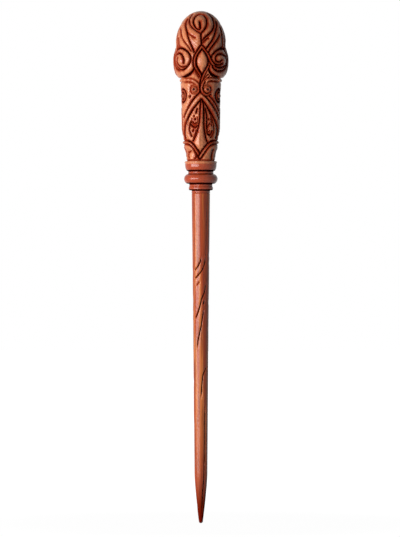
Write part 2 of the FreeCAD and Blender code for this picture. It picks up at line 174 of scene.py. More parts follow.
class WoodColours(bpy.types.PropertyGroup):
    """Colours of the woods and their stain, in linear light."""

    carved: colour("Carved wood", (0.44, 0.064, 0.014, 1), "Faces of the carving")
    # crest: polish from handling, and partly a painted highlight; also used for the painted highlight on the
    # cup's lip
    crest: colour("Crest", (0.68, 0.235, 0.098, 1), "Where hands have polished the carving")
    # painted shade: the darker red laid on the wood beside the cuts
    groove_shade: colour("Groove shade", (0.25, 0.012, 0.003, 1), "Where the stain was rubbed thin beside the cuts")
    # stain: also the colour of the painted shade in the collar's joints
    stain: colour("Stain and shade", (0.030, 0.001, 0.0005, 1), "Dark stain left in the cuts")
    turned: colour("Turned wood", (0.42, 0.048, 0.006, 1), "The collar's rings")
    shaft: colour("Shaft wood", (0.62, 0.170, 0.036, 1), "The upper shaft")
    # colour of the lower shaft, redder and darker than its top
    ember: colour("Lower shaft", (0.40, 0.052, 0.006, 1), "The lower shaft, where its varnish is redder")
    tip: colour("Tip wood", (0.15, 0.005, 0.001, 1), "The shaft near its tip")
    grain: colour("Grain", (0.17, 0.020, 0.007, 1), "Darker lines of the grain")
    peg: colour("Peg wood", (0.40, 0.070, 0.019, 1), "The pegs' heads")
    dowel: colour("Dowel wood", (0.60, 0.36, 0.17, 1), "The bare dowel")
    steel: colour("Pin steel", (0.50, 0.51, 0.52, 1), "The pin in the tenon")


class StageSettings(bpy.types.PropertyGroup):
    """The camera and the lamps."""

    lens: FloatProperty(name="Lens", default=300.0, subtype="DISTANCE_CAMERA", description="Focal length")
    frame_height: length("Frame height", 346.1, "Height of what the camera sees at the wand")
    view_x: length("View x", -0.55, "Where the camera looks, sideways")
    view_z: length("View z", -50.4, "Where the camera looks, in height")
    key: FloatProperty(name="Key", default=21.0, min=0, unit="POWER", description="Power of the main lamp")
    fill: FloatProperty(name="Fill", default=0.2, min=0, unit="POWER", description="Power of the fill lamp")
    back: FloatProperty(name="Back", default=9.0, min=0, unit="POWER", description="Power of the back lamp")
    world: FloatProperty(name="World", default=0.03, min=0, description="Strength of the surroundings")


def sizes(context):
    return context.scene.wand_sizes


def style(context):
    return context.scene.wand_carving


def colours(context):
    return context.scene.wand_colours


# Turned outlines, as (radius, height) points in millimetres

def straight(start, end, steps):
    """Points from start up to, but not at, end."""
    share = np.linspace(0, 1, steps, endpoint=False)[:, None]
    return np.asarray(start) + share * (np.asarray(end) - np.asarray(start))


def quarter(start, corner, end, steps):
    """A quarter ellipse from start up to, but not at, end, tangent to the lines that meet in corner."""
    angle = np.linspace(0, math.pi / 2, steps, endpoint=False)[:, None]
    start, corner, end = (np.asarray(p, dtype=float) for p in (start, corner, end))
    centre = start + end - corner
    return centre + np.cos(angle) * (start - centre) + np.sin(angle) * (end - centre)


def ogee(start, end, steps):
    """An S curve from start up to, but not at, end, which leaves and arrives along the axis."""
    t = np.linspace(0, 1, steps, endpoint=False)[:, None]
    start, end = np.asarray(start, dtype=float), np.asarray(end, dtype=float)
    middle = (start[1] + end[1]) / 2
    lower, upper = np.array([start[0], middle]), np.array([end[0], middle])
    return ((1 - t) ** 3 * start + 3 * (1 - t) ** 2 * t * lower
            + 3 * (1 - t) * t ** 2 * upper + t ** 3 * end)


def run(*stretches):
    """Joins stretches, each without its last point, into one outline."""
    return np.vstack(stretches)


# Meshes

def spin_outline(name, outline, turns, closed=False):
    """Spins an outline round the wand's axis and returns the new object.

    A closed outline joins its last point to its first, and an open one starts and ends on the axis. One
    eighth is spun and then doubled three times, which is much quicker than a whole turn.
    """
    bm = bmesh.new()
    verts = [bm.verts.new((r * MM, 0, z * MM)) for r, z in outline]
    pairs = list(zip(verts, verts[1:]))
    if closed:
        pairs.append((verts[-1], verts[0]))
    edges = [bm.edges.new(pair) for pair in pairs]
    bmesh.ops.spin(bm, geom=verts + edges, cent=(0, 0, 0), axis=(0, 0, 1), dvec=(0, 0, 0),
                   angle=math.pi / 4, steps=turns // 8, use_merge=False, use_normal_flip=False)
    for angle in (45, 90, 180):
        copied = bmesh.ops.duplicate(bm, geom=bm.verts[:] + bm.edges[:] + bm.faces[:])["geom"]
        bmesh.ops.rotate(bm, verts=[part for part in copied if isinstance(part, bmesh.types.BMVert)],
                         cent=(0, 0, 0), matrix=Matrix.Rotation(math.radians(angle), 3, "Z"))
    bmesh.ops.remove_doubles(bm, verts=bm.verts, dist=SAME_POINT)
    bmesh.ops.recalc_face_normals(bm, faces=bm.faces)
    return finish_object(name, bm)


def finish_object(name, bm):
    """A linked object, smooth shaded, made from a bmesh."""
    mesh = bpy.data.meshes.new(name)
    bm.to_mesh(mesh)
    bm.free()
    mesh.polygons.foreach_set("use_smooth", [True] * len(mesh.polygons))
    piece = bpy.data.objects.new(name, mesh)
    bpy.context.scene.collection.objects.link(piece)
    return piece


def crisp(piece, degrees=40):
    """Keeps the edges that turn more than this sharp."""
    piece.data.set_sharp_from_angle(angle=math.radians(degrees))


def points_of(mesh):
    """The vertices' places in millimetres."""
    flat = np.empty(len(mesh.vertices) * 3)
    mesh.vertices.foreach_get("co", flat)
    return flat.reshape(-1, 3) / MM


def move_points(mesh, places):
    """Moves the vertices to those places, given in millimetres."""
    mesh.vertices.foreach_set("co", (places * MM).ravel())
    mesh.update()


def ease(mesh, chosen):
    """Takes the sharpness off the chosen points, as sanding and varnish do."""
    bm = bmesh.new()
    bm.from_mesh(mesh)
    bm.verts.ensure_lookup_table()
    verts = [vert for vert, kept in zip(bm.verts, chosen) if kept]
    bmesh.ops.smooth_vert(bm, verts=verts, factor=0.5, use_axis_x=True, use_axis_y=True, use_axis_z=True)
    bm.to_mesh(mesh)
    bm.free()


def keep_values(mesh, name, values):
    """Stores one number a vertex, for a material to read."""
    layer = mesh.attributes.new(name, "FLOAT", "POINT")
    layer.data.foreach_set("value", values.astype(np.float32))


def place(piece, slot, material, *nodes):
    """Finishes a piece, lets it ride on the wand, and hides the CAD nodes that it stands for."""
    piece.data.materials.clear()
    piece.data.materials.append(material)
    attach(piece, BODY)
    if nodes:
        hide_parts(*nodes)


# Carving

def smooth(points, spacing=0.5):
    """A smooth curve through plan points, as many closely spaced points."""
    given = np.asarray(points, dtype=float)
    if len(given) == 2:
        given = np.vstack([given[0], given.mean(axis=0), given[1]])
    padded = np.vstack([2 * given[0] - given[1], given, 2 * given[-1] - given[-2]])
    made = []
    for a, b, c, d in zip(padded, padded[1:], padded[2:], padded[3:]):
        steps = max(2, int(np.linalg.norm(c - b) / spacing))
        t = np.linspace(0, 1, steps, endpoint=False)[:, None]
        made.append(0.5 * (2 * b + (c - a) * t + (2 * a - 5 * b + 4 * c - d) * t ** 2
                           + (3 * b - a - 3 * c + d) * t ** 3))
    return np.vstack(made + [given[-1:]])


def bump(share):
    """1 at 0, rounded, and 0 from 1 outwards."""
    return 0.5 + 0.5 * np.cos(math.pi * np.clip(np.abs(share), 0, 1))


def ramp(value, start, end):
    """0 at start and 1 at end, eased."""
    share = np.clip((value - start) / (end - start), 0, 1)
    return share * share * (3 - 2 * share)


MOST_OVERHANG = 0.6            # steepest underside that the knife follows, as a slope
MOST_SIDEWAYS = 0.995          # how far sideways a flat plan reaches, as a share of the radius
HOLLOW_REACH = 1.2             # how far from a cut's middle its stored value falls to nothing
DEEP_STAIN = 0.75              # the stored value of a wide sunk floor
PILLOW_SPAN = 5                # how far the rounding beside a cut is worked out, in pillow reaches
FAR = 20.0                     # stands for the distance to a cut where there is none
FADE_SLACK = 2.5               # what a cut's fading adds to the stored distance
SHALLOW_SLACK = 1.5            # the same for a cut that is shallower than an ordinary one
STRAP_SLACK = 3.0              # the same for a fading strap
SEAT_EDGE = 0.2                # half the width of the rounding at a peg seat's edge
PATH_PIECE = 6                 # steps of a path that are looked at together
TINY = 1e-9


def off_axis(points):
    """The points' distances from the wand's axis."""
    return np.hypot(points[:, 0], points[:, 1])


def outward(points):
    """The level directions away from the wand's axis, without their height."""
    return points[:, :2] / (off_axis(points) + TINY)[:, None]


def leaning(points, lean):
    """The directions away from the wand's axis, tipped down by the slope lean."""
    raw = np.column_stack([outward(points), -lean])
    return raw / np.linalg.norm(raw, axis=1)[:, None]


def round_axis(r, angle, z):
    """Places at that angle from the front round the wand's axis."""
    return np.column_stack([r * np.sin(angle), -r * np.cos(angle), z])


class Relief:
    """The carving of one turned surface.

    Each point of the surface has a ground level, the height of the form that stands on it, the depth of the
    cuts there, and its distance to the nearest cut. A form that is carved later lies over the earlier ones.
    """

    def __init__(self, points, outline, look):
        self.order = np.argsort(points[:, 2])
        self.points = points[self.order]
        self.outline_r, self.outline_z = outline[:, 0], outline[:, 1]
        self.turn = np.degrees(np.arctan2(self.points[:, 0], -self.points[:, 1]))
        slope = np.gradient(self.outline_r) / np.gradient(self.outline_z)
        lean = np.interp(self.points[:, 2], self.outline_z, np.minimum(slope, MOST_OVERHANG))
        self.normals = leaning(self.points, lean)
        self.ground, self.form, self.cut = np.zeros((3, len(points)))
        self.near = np.full(len(points), FAR)
        self.cut_half = look.cut_width / MM
        self.cut_depth = look.cut_depth / MM
        self.pillow_depth = look.pillow_depth / MM
        self.pillow_reach = look.pillow_reach / MM
        self.tremor = look.tremor / MM

    def radius_at(self, z):
        """The uncarved surface's radius at a height."""
        return np.interp(z, self.outline_z, self.outline_r)

    def from_turn(self, turn):
        """The points' angles from the direction that turn faces, in degrees from -180 to 180."""
        return (self.turn - turn + 180) % 360 - 180

    def on_skin(self, plan, turn):
        """Plan points (sideways, height), seen from the side that turn faces, laid on the surface."""
        r = self.radius_at(plan[:, 1])
        sideways = np.clip(plan[:, 0] / np.maximum(r, TINY), -MOST_SIDEWAYS, MOST_SIDEWAYS)
        return round_axis(r, np.arcsin(sideways) + math.radians(turn), plan[:, 1])

    def round_skin(self, plan, turn):
        """The same for plan points whose sideways distance runs along the surface."""
        r = self.radius_at(plan[:, 1])
        return round_axis(r, plan[:, 0] / np.maximum(r, TINY) + math.radians(turn), plan[:, 1])

    def box_round(self, places, reach):
        """The points inside the box round some places."""
        low_corner, high_corner = places.min(axis=0) - reach, places.max(axis=0) + reach
        first, last = np.searchsorted(self.points[:, 2], (low_corner[2], high_corner[2]))
        slab = self.points[first:last]
        inside = np.all((slab > low_corner) & (slab < high_corner), axis=1)
        return first + np.flatnonzero(inside)

    def along(self, path, reach, fade):
        """The points within reach of a path, how far off they are, and 1 there, fading to 0 at its ends."""
        best = np.full(len(self.points), reach ** 2)
        where = np.zeros(len(self.points))
        walked = 0.0
        for first in range(0, len(path) - 1, PATH_PIECE):
            piece = path[first:first + PATH_PIECE + 1]
            near = self.box_round(piece, reach)
            p = self.points[near]
            for start, end in zip(piece, piece[1:]):
                step = end - start
                size = np.linalg.norm(step)
                if size < TINY:
                    continue
                t = np.clip((p - start) @ step / size ** 2, 0, 1)
                off = ((p - start - t[:, None] * step) ** 2).sum(axis=1)
                closer = off < best[near]
                best[near[closer]] = off[closer]
                where[near[closer]] = walked + t[closer] * size
                walked += size
        chosen = np.flatnonzero(best < reach ** 2)
        share = np.ones(len(chosen))
        for room, from_end in zip(fade, (where[chosen], walked - where[chosen])):
            if room:
                share *= ramp(from_end, 0, room)
        return chosen, np.sqrt(best[chosen]), share

    def groove(self, path, width, depth, fade=(0, 0)):
        """Cuts along a path. Width and depth are shares of the ordinary cut's."""
        half = width * self.cut_half
        chosen, off, share = self.along(path, half + PILLOW_SPAN * self.pillow_reach, fade)
        self.cut[chosen] = np.maximum(self.cut[chosen], depth * self.cut_depth * share * bump(off / half))
        slack = FADE_SLACK * (1 - share) + SHALLOW_SLACK * max(1 - depth, 0)
        self.near[chosen] = np.minimum(self.near[chosen], off + slack)

    def strap(self, path, half, height, width, depth, fade, flat=0.0):
        """A rounded band of half that width along a path, with a cut down each side of it.

        Flat is how much shallower the cuts get towards the wand's flanks.
        """
        cut_half = width * self.cut_half
        edge = half + cut_half * 0.8
        chosen, off, share = self.along(path, edge + cut_half + 0.5, fade)
        cover = ramp(off, edge + cut_half, edge) * share
        crown = height * np.sqrt(np.clip(1 - (off / (edge + 0.01)) ** 2, 0, 1))
        shallow = flat * ramp(np.abs(np.sin(np.radians(self.turn[chosen]))), 0.70, 0.95)
        side = depth * (1 - shallow) * self.cut_depth * share * bump((off - edge) / cut_half)
        self.form[chosen] = self.form[chosen] * (1 - cover) + crown * cover
        self.cut[chosen] = np.maximum(self.cut[chosen] * (1 - cover), side)
        apart = np.abs(off - edge) + SHALLOW_SLACK * (max(1 - depth, 0) + shallow)
        beside = np.minimum(self.near[chosen], apart + STRAP_SLACK * (1 - share))
        self.near[chosen] = np.where(cover > 0.5, apart, beside)

    def mound(self, turn, z, wide, tall, height, pointed=False, clear=True):
        """A bulge on an ellipse, or on an almond with its points up and down, that covers what it lies on."""
        u = np.radians(self.from_turn(turn)) * self.radius_at(z) / wide
        v = (self.points[:, 2] - z) / tall
        level = np.abs(u) + v ** 2 if pointed else u ** 2 + v ** 2
        inside = np.flatnonzero(level < 1)
        level = level[inside]
        self.form[inside] = (0 if clear else self.form[inside]) + height * np.sqrt(1 - level)
        if clear:
            self.cut[inside] = 0
            self.near[inside] = FAR

    def ridge(self, path, half, height, fade):
        """Raises a sharp ridge along a path, with flat flanks that reach half its width each side."""
        chosen, off, share = self.along(path, half, fade)
        self.form[chosen] += height * share * (1 - off / half)

    def sink(self, plan, turn, depth, lean=None):
        """Lowers the ground inside a closed plan, by one depth or by one for each point.

        Lean is how fast the new ground widens upwards, where it doesn't follow the old one.
        """
        side = np.radians(self.from_turn(turn))
        x = off_axis(self.points) * np.sin(side)
        z = self.points[:, 2]
        inside = np.zeros(len(z), dtype=bool)
        for (x0, z0), (x1, z1) in zip(plan, np.roll(plan, -1, axis=0)):
            if z0 == z1:
                continue
            between = (z0 > z) != (z1 > z)
            inside ^= between & (x < (x1 - x0) * (z - z0) / (z1 - z0) + x0)
        inside &= np.abs(side) < math.pi / 2
        self.ground -= depth * inside
        if lean is not None:
            self.normals[inside] = leaning(self.points, lean)[inside]

    def pit(self, turn, x, z, size, depth):
        """Drills a round pit of that radius."""
        centre = self.on_skin(np.array([[x, z]]), turn)
        off = np.linalg.norm(self.points - centre, axis=1)
        chosen = np.flatnonzero(off < size * 2.5)
        self.cut[chosen] = np.maximum(self.cut[chosen], depth * ramp(off[chosen], size * 1.25, size * 0.6))
        self.near[chosen] = np.minimum(self.near[chosen], np.maximum(off[chosen] - size, 0) + 0.5)

    def seat(self, turn, z, size, depth):
        """Sinks the seat of a peg's head."""
        side = np.radians(self.from_turn(turn)) * self.radius_at(z)
        off = np.hypot(side, self.points[:, 2] - z)
        inside = np.flatnonzero(off < size + SEAT_EDGE)
        share = ramp(off[inside], size + SEAT_EDGE, size - SEAT_EDGE)
        self.form[inside] *= 1 - share
        self.cut[inside] = np.maximum(depth * share, self.cut[inside] * (1 - share))

    def carved(self):
        """Where the points lie after the carving, and the two values that the finish reads."""
        x, y, z = self.points.T
        # Waves a few millimetres long, in three directions, that don't fall into step
        shake = (np.sin(1.7 * x + 0.9 * z) * np.sin(1.3 * y - 1.1 * z + 2)
                 + 0.6 * np.sin(3.1 * z + 2.3 * x + 1) * np.sin(2.9 * y + 0.7 * x))
        pillow = self.pillow_depth * np.exp(-(self.near / self.pillow_reach) ** 1.5)
        height = self.form - self.cut - pillow + shake * self.tremor
        sunk = DEEP_STAIN * np.clip(self.cut / self.cut_depth, 0, 1)
        hollow = np.maximum(1 - self.near / HOLLOW_REACH, sunk)
        crest = 1 - np.exp(-(self.near / self.pillow_reach) ** 2)
        moved = self.points.copy()
        moved[:, :2] += outward(self.points) * self.ground[:, None]
        moved += self.normals * height[:, None]
        back = np.argsort(self.order)
        return moved[back], hollow[back], crest[back]


# Widths and depths of cuts are shares of the ordinary cut's, and everything else is in millimetres.
# Fade is how long a cut or a strap takes to reach its full depth, at its start and at its end.
# A leaf's spine is the share of its length that its ridge takes.

Cut = namedtuple("Cut", "plan width depth fade", defaults=((0, 0),))
Band = namedtuple("Band", "plan half height width depth fade", defaults=((0, 0),))
Leaf = namedtuple("Leaf", "z wide tall sunk spine ridge fade")


def cut_all(relief, cuts, turn):
    """Cuts every plan, seen from the side that turn faces."""
    for plan, width, depth, fade in cuts:
        relief.groove(relief.on_skin(smooth(plan), turn), width, depth, fade)


def band_all(relief, bands, turn):
    """Lays every strap, seen from the side that turn faces."""
    for plan, *look in bands:
        relief.strap(relief.on_skin(smooth(plan), turn), *look)


def cut_ring(relief, turn, z, radius, width, depth, steps=48):
    """Cuts a circle round a point of the surface at that height."""
    angle = np.linspace(0, 2 * math.pi, steps)
    plan = np.column_stack([radius * np.sin(angle), z + radius * np.cos(angle)])
    relief.groove(relief.round_skin(plan, turn), width, depth)


def cut_almond(relief, turn, z, wide, tall, width, depth, steps=24):
    """Cuts the left and then the right side of an almond, from its lower point to its upper one."""
    v = np.linspace(-1, 1, steps)
    for hand in (-1, 1):
        side = np.column_stack([hand * wide * (1 - v ** 2), z + tall * v])
        relief.groove(relief.round_skin(side, turn), width, depth)


def carve_leaf(relief, turn, leaf):
    """A sunk almond with a ridge along it and a cut round it."""
    z, wide, tall, sunk, spine, height, fade = leaf
    relief.mound(turn, z, wide, tall, -sunk, pointed=True)
    path = smooth(((0, z - tall * spine), (0, z), (0, z + tall * spine)))
    relief.ridge(relief.on_skin(path, turn), wide, height, (fade, fade))
    cut_almond(relief, turn, z, wide, tall, width=0.95, depth=1.0)


# Plans of the head, in millimetres: sideways and height

DOME_CUTS = (
    Cut(((0.3, 100.6), (1.0, 101.4), (2.3, 102.8), (3.5, 104.7), (4.0, 106.9), (3.9, 109.3), (3.2, 111.2),
         (1.8, 112.7), (0.0, 113.2), (-2.0, 112.8), (-3.7, 111.5), (-4.7, 109.6), (-4.8, 107.6),
         (-4.2, 105.8), (-3.2, 104.2), (-1.9, 103.2), (-0.9, 103.1), (-0.3, 103.9)), 0.95, 1.2),
    Cut(((-0.6, 108.4), (-0.4, 106.3), (-0.2, 104.2)), 1.5, 1.7),
    Cut(((0.2, 100.4), (-0.9, 101.1), (-2.4, 101.9), (-4.0, 103.0), (-5.5, 104.3), (-6.7, 105.7),
         (-7.3, 107.3), (-7.5, 109.2), (-6.9, 111.3), (-5.4, 113.3), (-3.6, 114.3)), 0.8, 0.85, (0, 2.0)),
    Cut(((0.3, 100.6), (0.2, 98.2), (0.5, 95.6), (0.7, 92.8)), 1.2, 1.5),
    Cut(((3.6, 114.4), (5.1, 113.6), (6.3, 112.4), (7.4, 111.0), (8.2, 109.3), (8.7, 107.3), (8.6, 105.0),
         (8.0, 103.0), (6.8, 101.3), (5.3, 99.8), (3.8, 98.6), (2.4, 97.3),
         (0.9, 95.8)), 1.1, 1.35, (2.0, 0)),
    Cut(((6.9, 98.7), (5.3, 97.7), (3.8, 96.6), (2.4, 95.3), (1.0, 94.1)), 0.9, 0.9, (2.5, 0)),
    Cut(((9.0, 110.6), (9.8, 109.0), (10.3, 107.3), (10.4, 105.3), (10.1, 103.2), (9.6, 101.0), (9.0, 99.0),
         (8.3, 97.2), (7.3, 95.3), (6.1, 93.7), (4.9, 92.2), (3.4, 90.5)), 1.35, 1.5, (2.5, 0)),
    Cut(((12.8, 101.8), (12.3, 99.5), (11.5, 97.5), (10.6, 95.8), (9.5, 94.3), (8.4, 93.0), (7.2, 91.6),
         (6.2, 90.2), (5.2, 88.5)), 1.0, 1.1, (2.5, 0)),
    Cut(((11.7, 106.8), (12.5, 104.8), (13.2, 102.6), (13.7, 100.3), (13.9, 98.0), (14.0, 95.0),
         (14.0, 90.9)), 1.3, 1.2, (2.5, 0)),
    Cut(((-7.6, 111.8), (-8.8, 110.0), (-9.8, 107.8), (-10.0, 105.6), (-9.7, 103.6), (-9.2, 101.5),
         (-8.8, 99.7), (-8.3, 97.8), (-7.7, 96.0), (-7.0, 94.2), (-6.1, 92.4), (-5.2, 90.6), (-4.4, 88.6)),
        1.05, 1.15, (2.5, 0)),
    Cut(((-8.9, 101.4), (-7.6, 100.2), (-6.0, 99.0), (-4.6, 98.1), (-3.2, 97.3), (-1.8, 96.6)), 0.8, 0.7,
        (0, 2.5)),
    Cut(((-12.6, 106.3), (-13.2, 104.0), (-13.1, 102.0), (-12.8, 100.0), (-12.3, 98.0), (-11.5, 96.2),
         (-10.5, 94.7), (-9.2, 93.1), (-7.8, 91.3), (-6.4, 89.2)), 0.85, 0.8, (2.5, 0)),
    Cut(((-14.3, 100.4), (-14.5, 98.0), (-14.4, 95.0), (-14.2, 91.4)), 1.0, 0.8, (2.5, 0)),
)

VOLUTE_TURN = 46.4             # degrees from the face's middle to each volute's middle
VOLUTE_Z = 83.9
VOLUTE_RADIUS = 7.2
LEFT_VOLUTE = (
    Cut(((-15.4, 91.0), (-13.8, 91.4), (-12.2, 91.1), (-10.5, 90.3), (-8.9, 89.0), (-7.6, 87.4), (-6.8, 85.5),
         (-6.6, 83.6), (-7.1, 81.9), (-8.0, 80.4), (-9.2, 78.9), (-10.5, 77.6), (-12.0, 76.9), (-13.5, 77.3),
         (-14.9, 78.6), (-15.9, 80.3), (-16.5, 82.2), (-16.6, 84.3), (-16.2, 86.2), (-15.3, 87.4),
         (-14.0, 87.9), (-12.9, 87.5), (-12.0, 86.3), (-11.2, 84.6), (-10.9, 82.8), (-11.1, 81.3),
         (-11.9, 80.5)), 1.15, 1.35, (0, 1.0)),
    Cut(((-9.0, 79.5), (-10.5, 79.0), (-12.0, 78.8), (-13.3, 79.3), (-14.3, 80.4), (-15.0, 82.0),
         (-15.1, 83.4), (-14.6, 84.8), (-13.6, 85.8)), 0.85, 0.9, (0.5, 1.5)),
)
RIGHT_VOLUTE = (
    Cut(((15.6, 90.9), (14.0, 91.0), (12.2, 90.5), (10.4, 89.4), (8.8, 88.0), (7.6, 86.3), (7.1, 84.5),
         (7.5, 82.9), (8.5, 81.5), (9.9, 80.6), (11.4, 80.2), (12.8, 80.5), (14.0, 81.4), (14.7, 82.6)),
        1.15, 1.3, (0, 1.5)),
    Cut(((15.0, 86.5), (15.9, 85.5), (16.4, 83.8), (16.4, 82.0), (15.9, 80.3), (14.9, 79.2), (13.5, 78.6),
         (12.0, 78.5), (10.6, 78.9), (9.7, 79.5), (9.0, 80.2)), 1.1, 1.5, (0, 0.3)),
    Cut(((14.7, 86.3), (13.4, 87.2), (11.7, 87.1), (10.2, 86.0), (9.6, 84.3), (10.1, 82.8), (11.3, 82.1),
         (12.5, 82.4), (13.2, 83.4), (13.0, 84.6)), 0.85, 1.1, (0.3, 1.0)),
    Cut(((7.2, 80.0), (8.4, 78.2), (9.8, 76.8), (12.0, 76.1), (14.0, 76.5), (15.6, 77.7), (16.6, 79.7),
         (17.0, 82.0)), 0.8, 1.1, (0.5, 0.5)),
)
VOLUTE_BACK = ((2.0, 7.7), (4.6, 6.9), (7.0, 5.0), (8.4, 2.2), (8.7, -0.8), (8.0, -3.6), (6.2, -5.9),
         (3.6, -7.2))

BUD = (3.2, 82.2, 3.5, 7.5)    # turn in degrees from the face's middle, height, half width, half height
BUD_FRAME = (
    ((0.3, 72.4), (-0.4, 73.8), (-1.6, 75.2), (-2.8, 77.0), (-3.7, 79.0), (-4.1, 81.2), (-4.0, 83.2),
     (-3.4, 85.5), (-2.4, 87.6), (-0.9, 89.8), (0.75, 91.9)),
    ((0.75, 91.9), (2.3, 89.9), (3.9, 87.8), (5.2, 85.8), (6.1, 83.8), (7.1, 82.0), (8.2, 80.6), (9.6, 79.6)),
)

SIDE_STRAND = ((-6.2, 89.6), (-5.5, 93.0), (-4.4, 97.5), (-2.9, 102.0), (-1.3, 105.8), (0.0, 108.3))
SIDE_LEAF = Leaf(83.0, 3.4, 11.0, 0.35, 1.0, 0.4, 3)


def carve_volutes(relief, turn):
    """The two scrolls of a face, each on its own swelling with a raised core."""
    for hand, cuts, core in ((-1, LEFT_VOLUTE, 3.0), (1, RIGHT_VOLUTE, 3.8)):
        centre = turn + hand * VOLUTE_TURN
        relief.mound(centre, VOLUTE_Z, VOLUTE_RADIUS, VOLUTE_RADIUS, height=0.4)
        relief.mound(centre, VOLUTE_Z - 0.4, core, core, height=0.5, clear=False)
        cut_all(relief, cuts, turn)
        back = smooth(VOLUTE_BACK) * (hand, 1) + (0, VOLUTE_Z)
        relief.groove(relief.round_skin(back, centre), width=1.1, depth=1.1)


def carve_bud(relief, turn):
    """The bud in its pointed frame."""
    left, right = (relief.on_skin(smooth(side), turn) for side in BUD_FRAME)
    frame_path = np.vstack([left, right[1:]])
    relief.strap(frame_path, half=0.55, height=0.4, width=0.9, depth=1.2, fade=(1.0, 1.2))
    shift, z, wide, tall = BUD
    relief.mound(turn + shift, z, wide, tall, height=0.6, pointed=True)
    cut_almond(relief, turn + shift, z, wide + 0.55, tall + 0.75, width=1.0, depth=1.6)


def carve_head_side(relief, turn):
    """Two strands that meet over a ridged leaf, between the front's volutes and the back's."""
    for hand in (1, -1):
        strand = smooth(SIDE_STRAND) * (hand, 1)
        relief.groove(relief.on_skin(strand, turn), width=0.9, depth=0.75, fade=(0, 1.5))
    carve_leaf(relief, turn, SIDE_LEAF)


# Plans of the throat and the waist, where head and grip meet

THROAT_CUTS = (
    Cut(((-4.3, 78.7), (-4.7, 77.2), (-5.6, 75.8), (-6.9, 74.7), (-8.4, 73.7), (-10.2, 72.8), (-11.8, 72.3)),
        1.1, 1.2),
    Cut(((5.9, 79.4), (5.7, 77.7), (6.2, 76.0), (7.2, 74.6), (8.6, 73.5), (10.2, 72.8), (11.8, 72.3)),
        1.25, 1.3),
    Cut(((-4.6, 77.5), (-3.8, 75.6), (-2.7, 73.9), (-1.5, 72.3), (-0.7, 71.0)), 0.7, 0.7, (1.0, 1.0)),
)
THROAT = (                     # a sunk plan runs along the cuts beside it
    (-4.3, 78.9), *THROAT_CUTS[0].plan[1:6], (-11.8, 72.2), (-11.8, 70.0),
    (11.8, 70.0), (11.8, 72.2), *THROAT_CUTS[1].plan[5::-1],
)
THROAT_SLOPE = 0.57            # how fast the throat widens upwards
FOOT = Band(((5.5, 79.6), (4.6, 77.7), (3.6, 76.0), (2.6, 74.2), (1.7, 72.5), (0.9, 70.9), (0.3, 69.4)),
            0.4, 0.25, 0.75, 0.9, (1.0, 1.0))
STEM = Cut(((0.9, 73.9), (0.4, 72.2), (0.0, 70.6), (-0.4, 69.0), (-0.6, 67.4), (-0.5, 65.4), (-0.5, 63.8),
            (-0.4, 62.6)), 1.15, 1.5)

# The two belts, at the waist and at the garland, each from the left of one face to the right of the other

WAIST_Z = 70.6
WAIST_LEFT = Band(((-11.8, WAIST_Z), (-9.4, 70.6), (-7.0, 70.4), (-5.0, 69.9), (-3.5, 69.1), (-2.3, 68.0),
                   (-1.6, 66.7), (-1.3, 65.2), (-1.5, 63.8), (-2.3, 62.4)), 0.7, 0.45, 1.0, 0.65, (0, 1.8))
WAIST_RIGHT = Band(((11.8, WAIST_Z), (9.6, 70.8), (8.0, 71.0), (6.0, 70.8), (4.4, 70.1), (3.0, 69.0)),
                   0.65, 0.45, 1.0, 0.65, (0, 1.2))
LEAF_HOOK = Band(((6.9, 73.9), (5.2, 73.0), (3.8, 71.8), (2.6, 70.3), (1.6, 68.8), (0.9, 67.2), (0.6, 65.6),
                  (0.8, 64.0), (1.5, 62.7), (2.7, 61.6), (4.2, 61.1), (5.6, 61.6), (6.8, 62.9)),
                 0.5, 0.45, 0.9, 0.9, (1.5, 1.0))
BELT_SIDE = (5.0, 2.5, 0.0, -2.5, -5.0)    # sideways on the flank
BELT_FLAT = 0.4                # how much shallower a belt's cuts are on the wand's flanks


# Plans of the grip

GRIP_LEAVES = (Leaf(44.0, 3.0, 11.5, 0.6, 0.9, 0.5, 2), Leaf(24.6, 2.6, 5.0, 0.6, 0.9, 0.5, 2))
ROUND_RADIUS = 4.2             # radii of the two rings at each side of a face
ROUND_CORE = 2.3
EYE_RING = 2.85                # radius of the ring round each eye
SEAT_ROOM = 0.1                # how much wider a seat is than its peg's head
EYE_TURN = 20.0                # degrees from the face's middle to each eye
SIDE_PEG_TURN = 68.0           # the same for the side pegs
PEG_SIDES = {"eye_pegs": EYE_TURN, "side_pegs": SIDE_PEG_TURN}
PEG_SINK = 0.9                 # depth of a peg's seat

ARCH_CUTS = (
    Cut(((-0.6, 62.8), (-2.4, 61.0), (-4.4, 58.9), (-6.2, 56.6), (-7.8, 54.2), (-9.2, 51.6), (-10.2, 49.4),
         (-11.0, 47.2), (-11.6, 44.6)), 1.15, 1.5, (0, 2.5)),
    Cut(((0.5, 58.3), (-0.6, 57.2), (-2.0, 55.8), (-3.6, 54.0), (-5.2, 52.1), (-6.6, 50.2), (-7.9, 48.1),
         (-9.0, 45.9), (-10.0, 43.4), (-10.6, 41.0), (-10.9, 38.0), (-10.8, 35.5), (-10.4, 33.6),
         (-9.6, 32.6)), 1.1, 1.4, (0, 0.8)),
    Cut(((-0.3, 62.8), (0.9, 62.2), (2.4, 60.9), (4.2, 59.2), (6.0, 57.1), (7.8, 54.7), (9.4, 52.1),
         (10.6, 49.7), (11.5, 47.2), (12.0, 44.6)), 1.45, 1.6, (0, 2.5)),
    Cut(((0.8, 58.3), (2.4, 56.4), (4.0, 54.4), (5.6, 52.1), (7.2, 49.6), (8.6, 47.0), (9.8, 44.4),
         (10.6, 42.0), (11.0, 39.5), (11.0, 37.0), (10.5, 34.4), (9.6, 32.8)),
        1.2, 1.5, (0, 0.8)),
    Cut(((4.9, 61.2), (6.6, 59.6), (8.6, 57.3), (10.2, 54.7), (11.3, 52.2),
         (12.1, 49.6)), 0.9, 0.9, (1.0, 2.0)),
    Cut(((-8.1, 59.2), (-7.2, 60.2), (-6.2, 60.8)), 0.9, 1.0, (0.5, 0.5)),
)
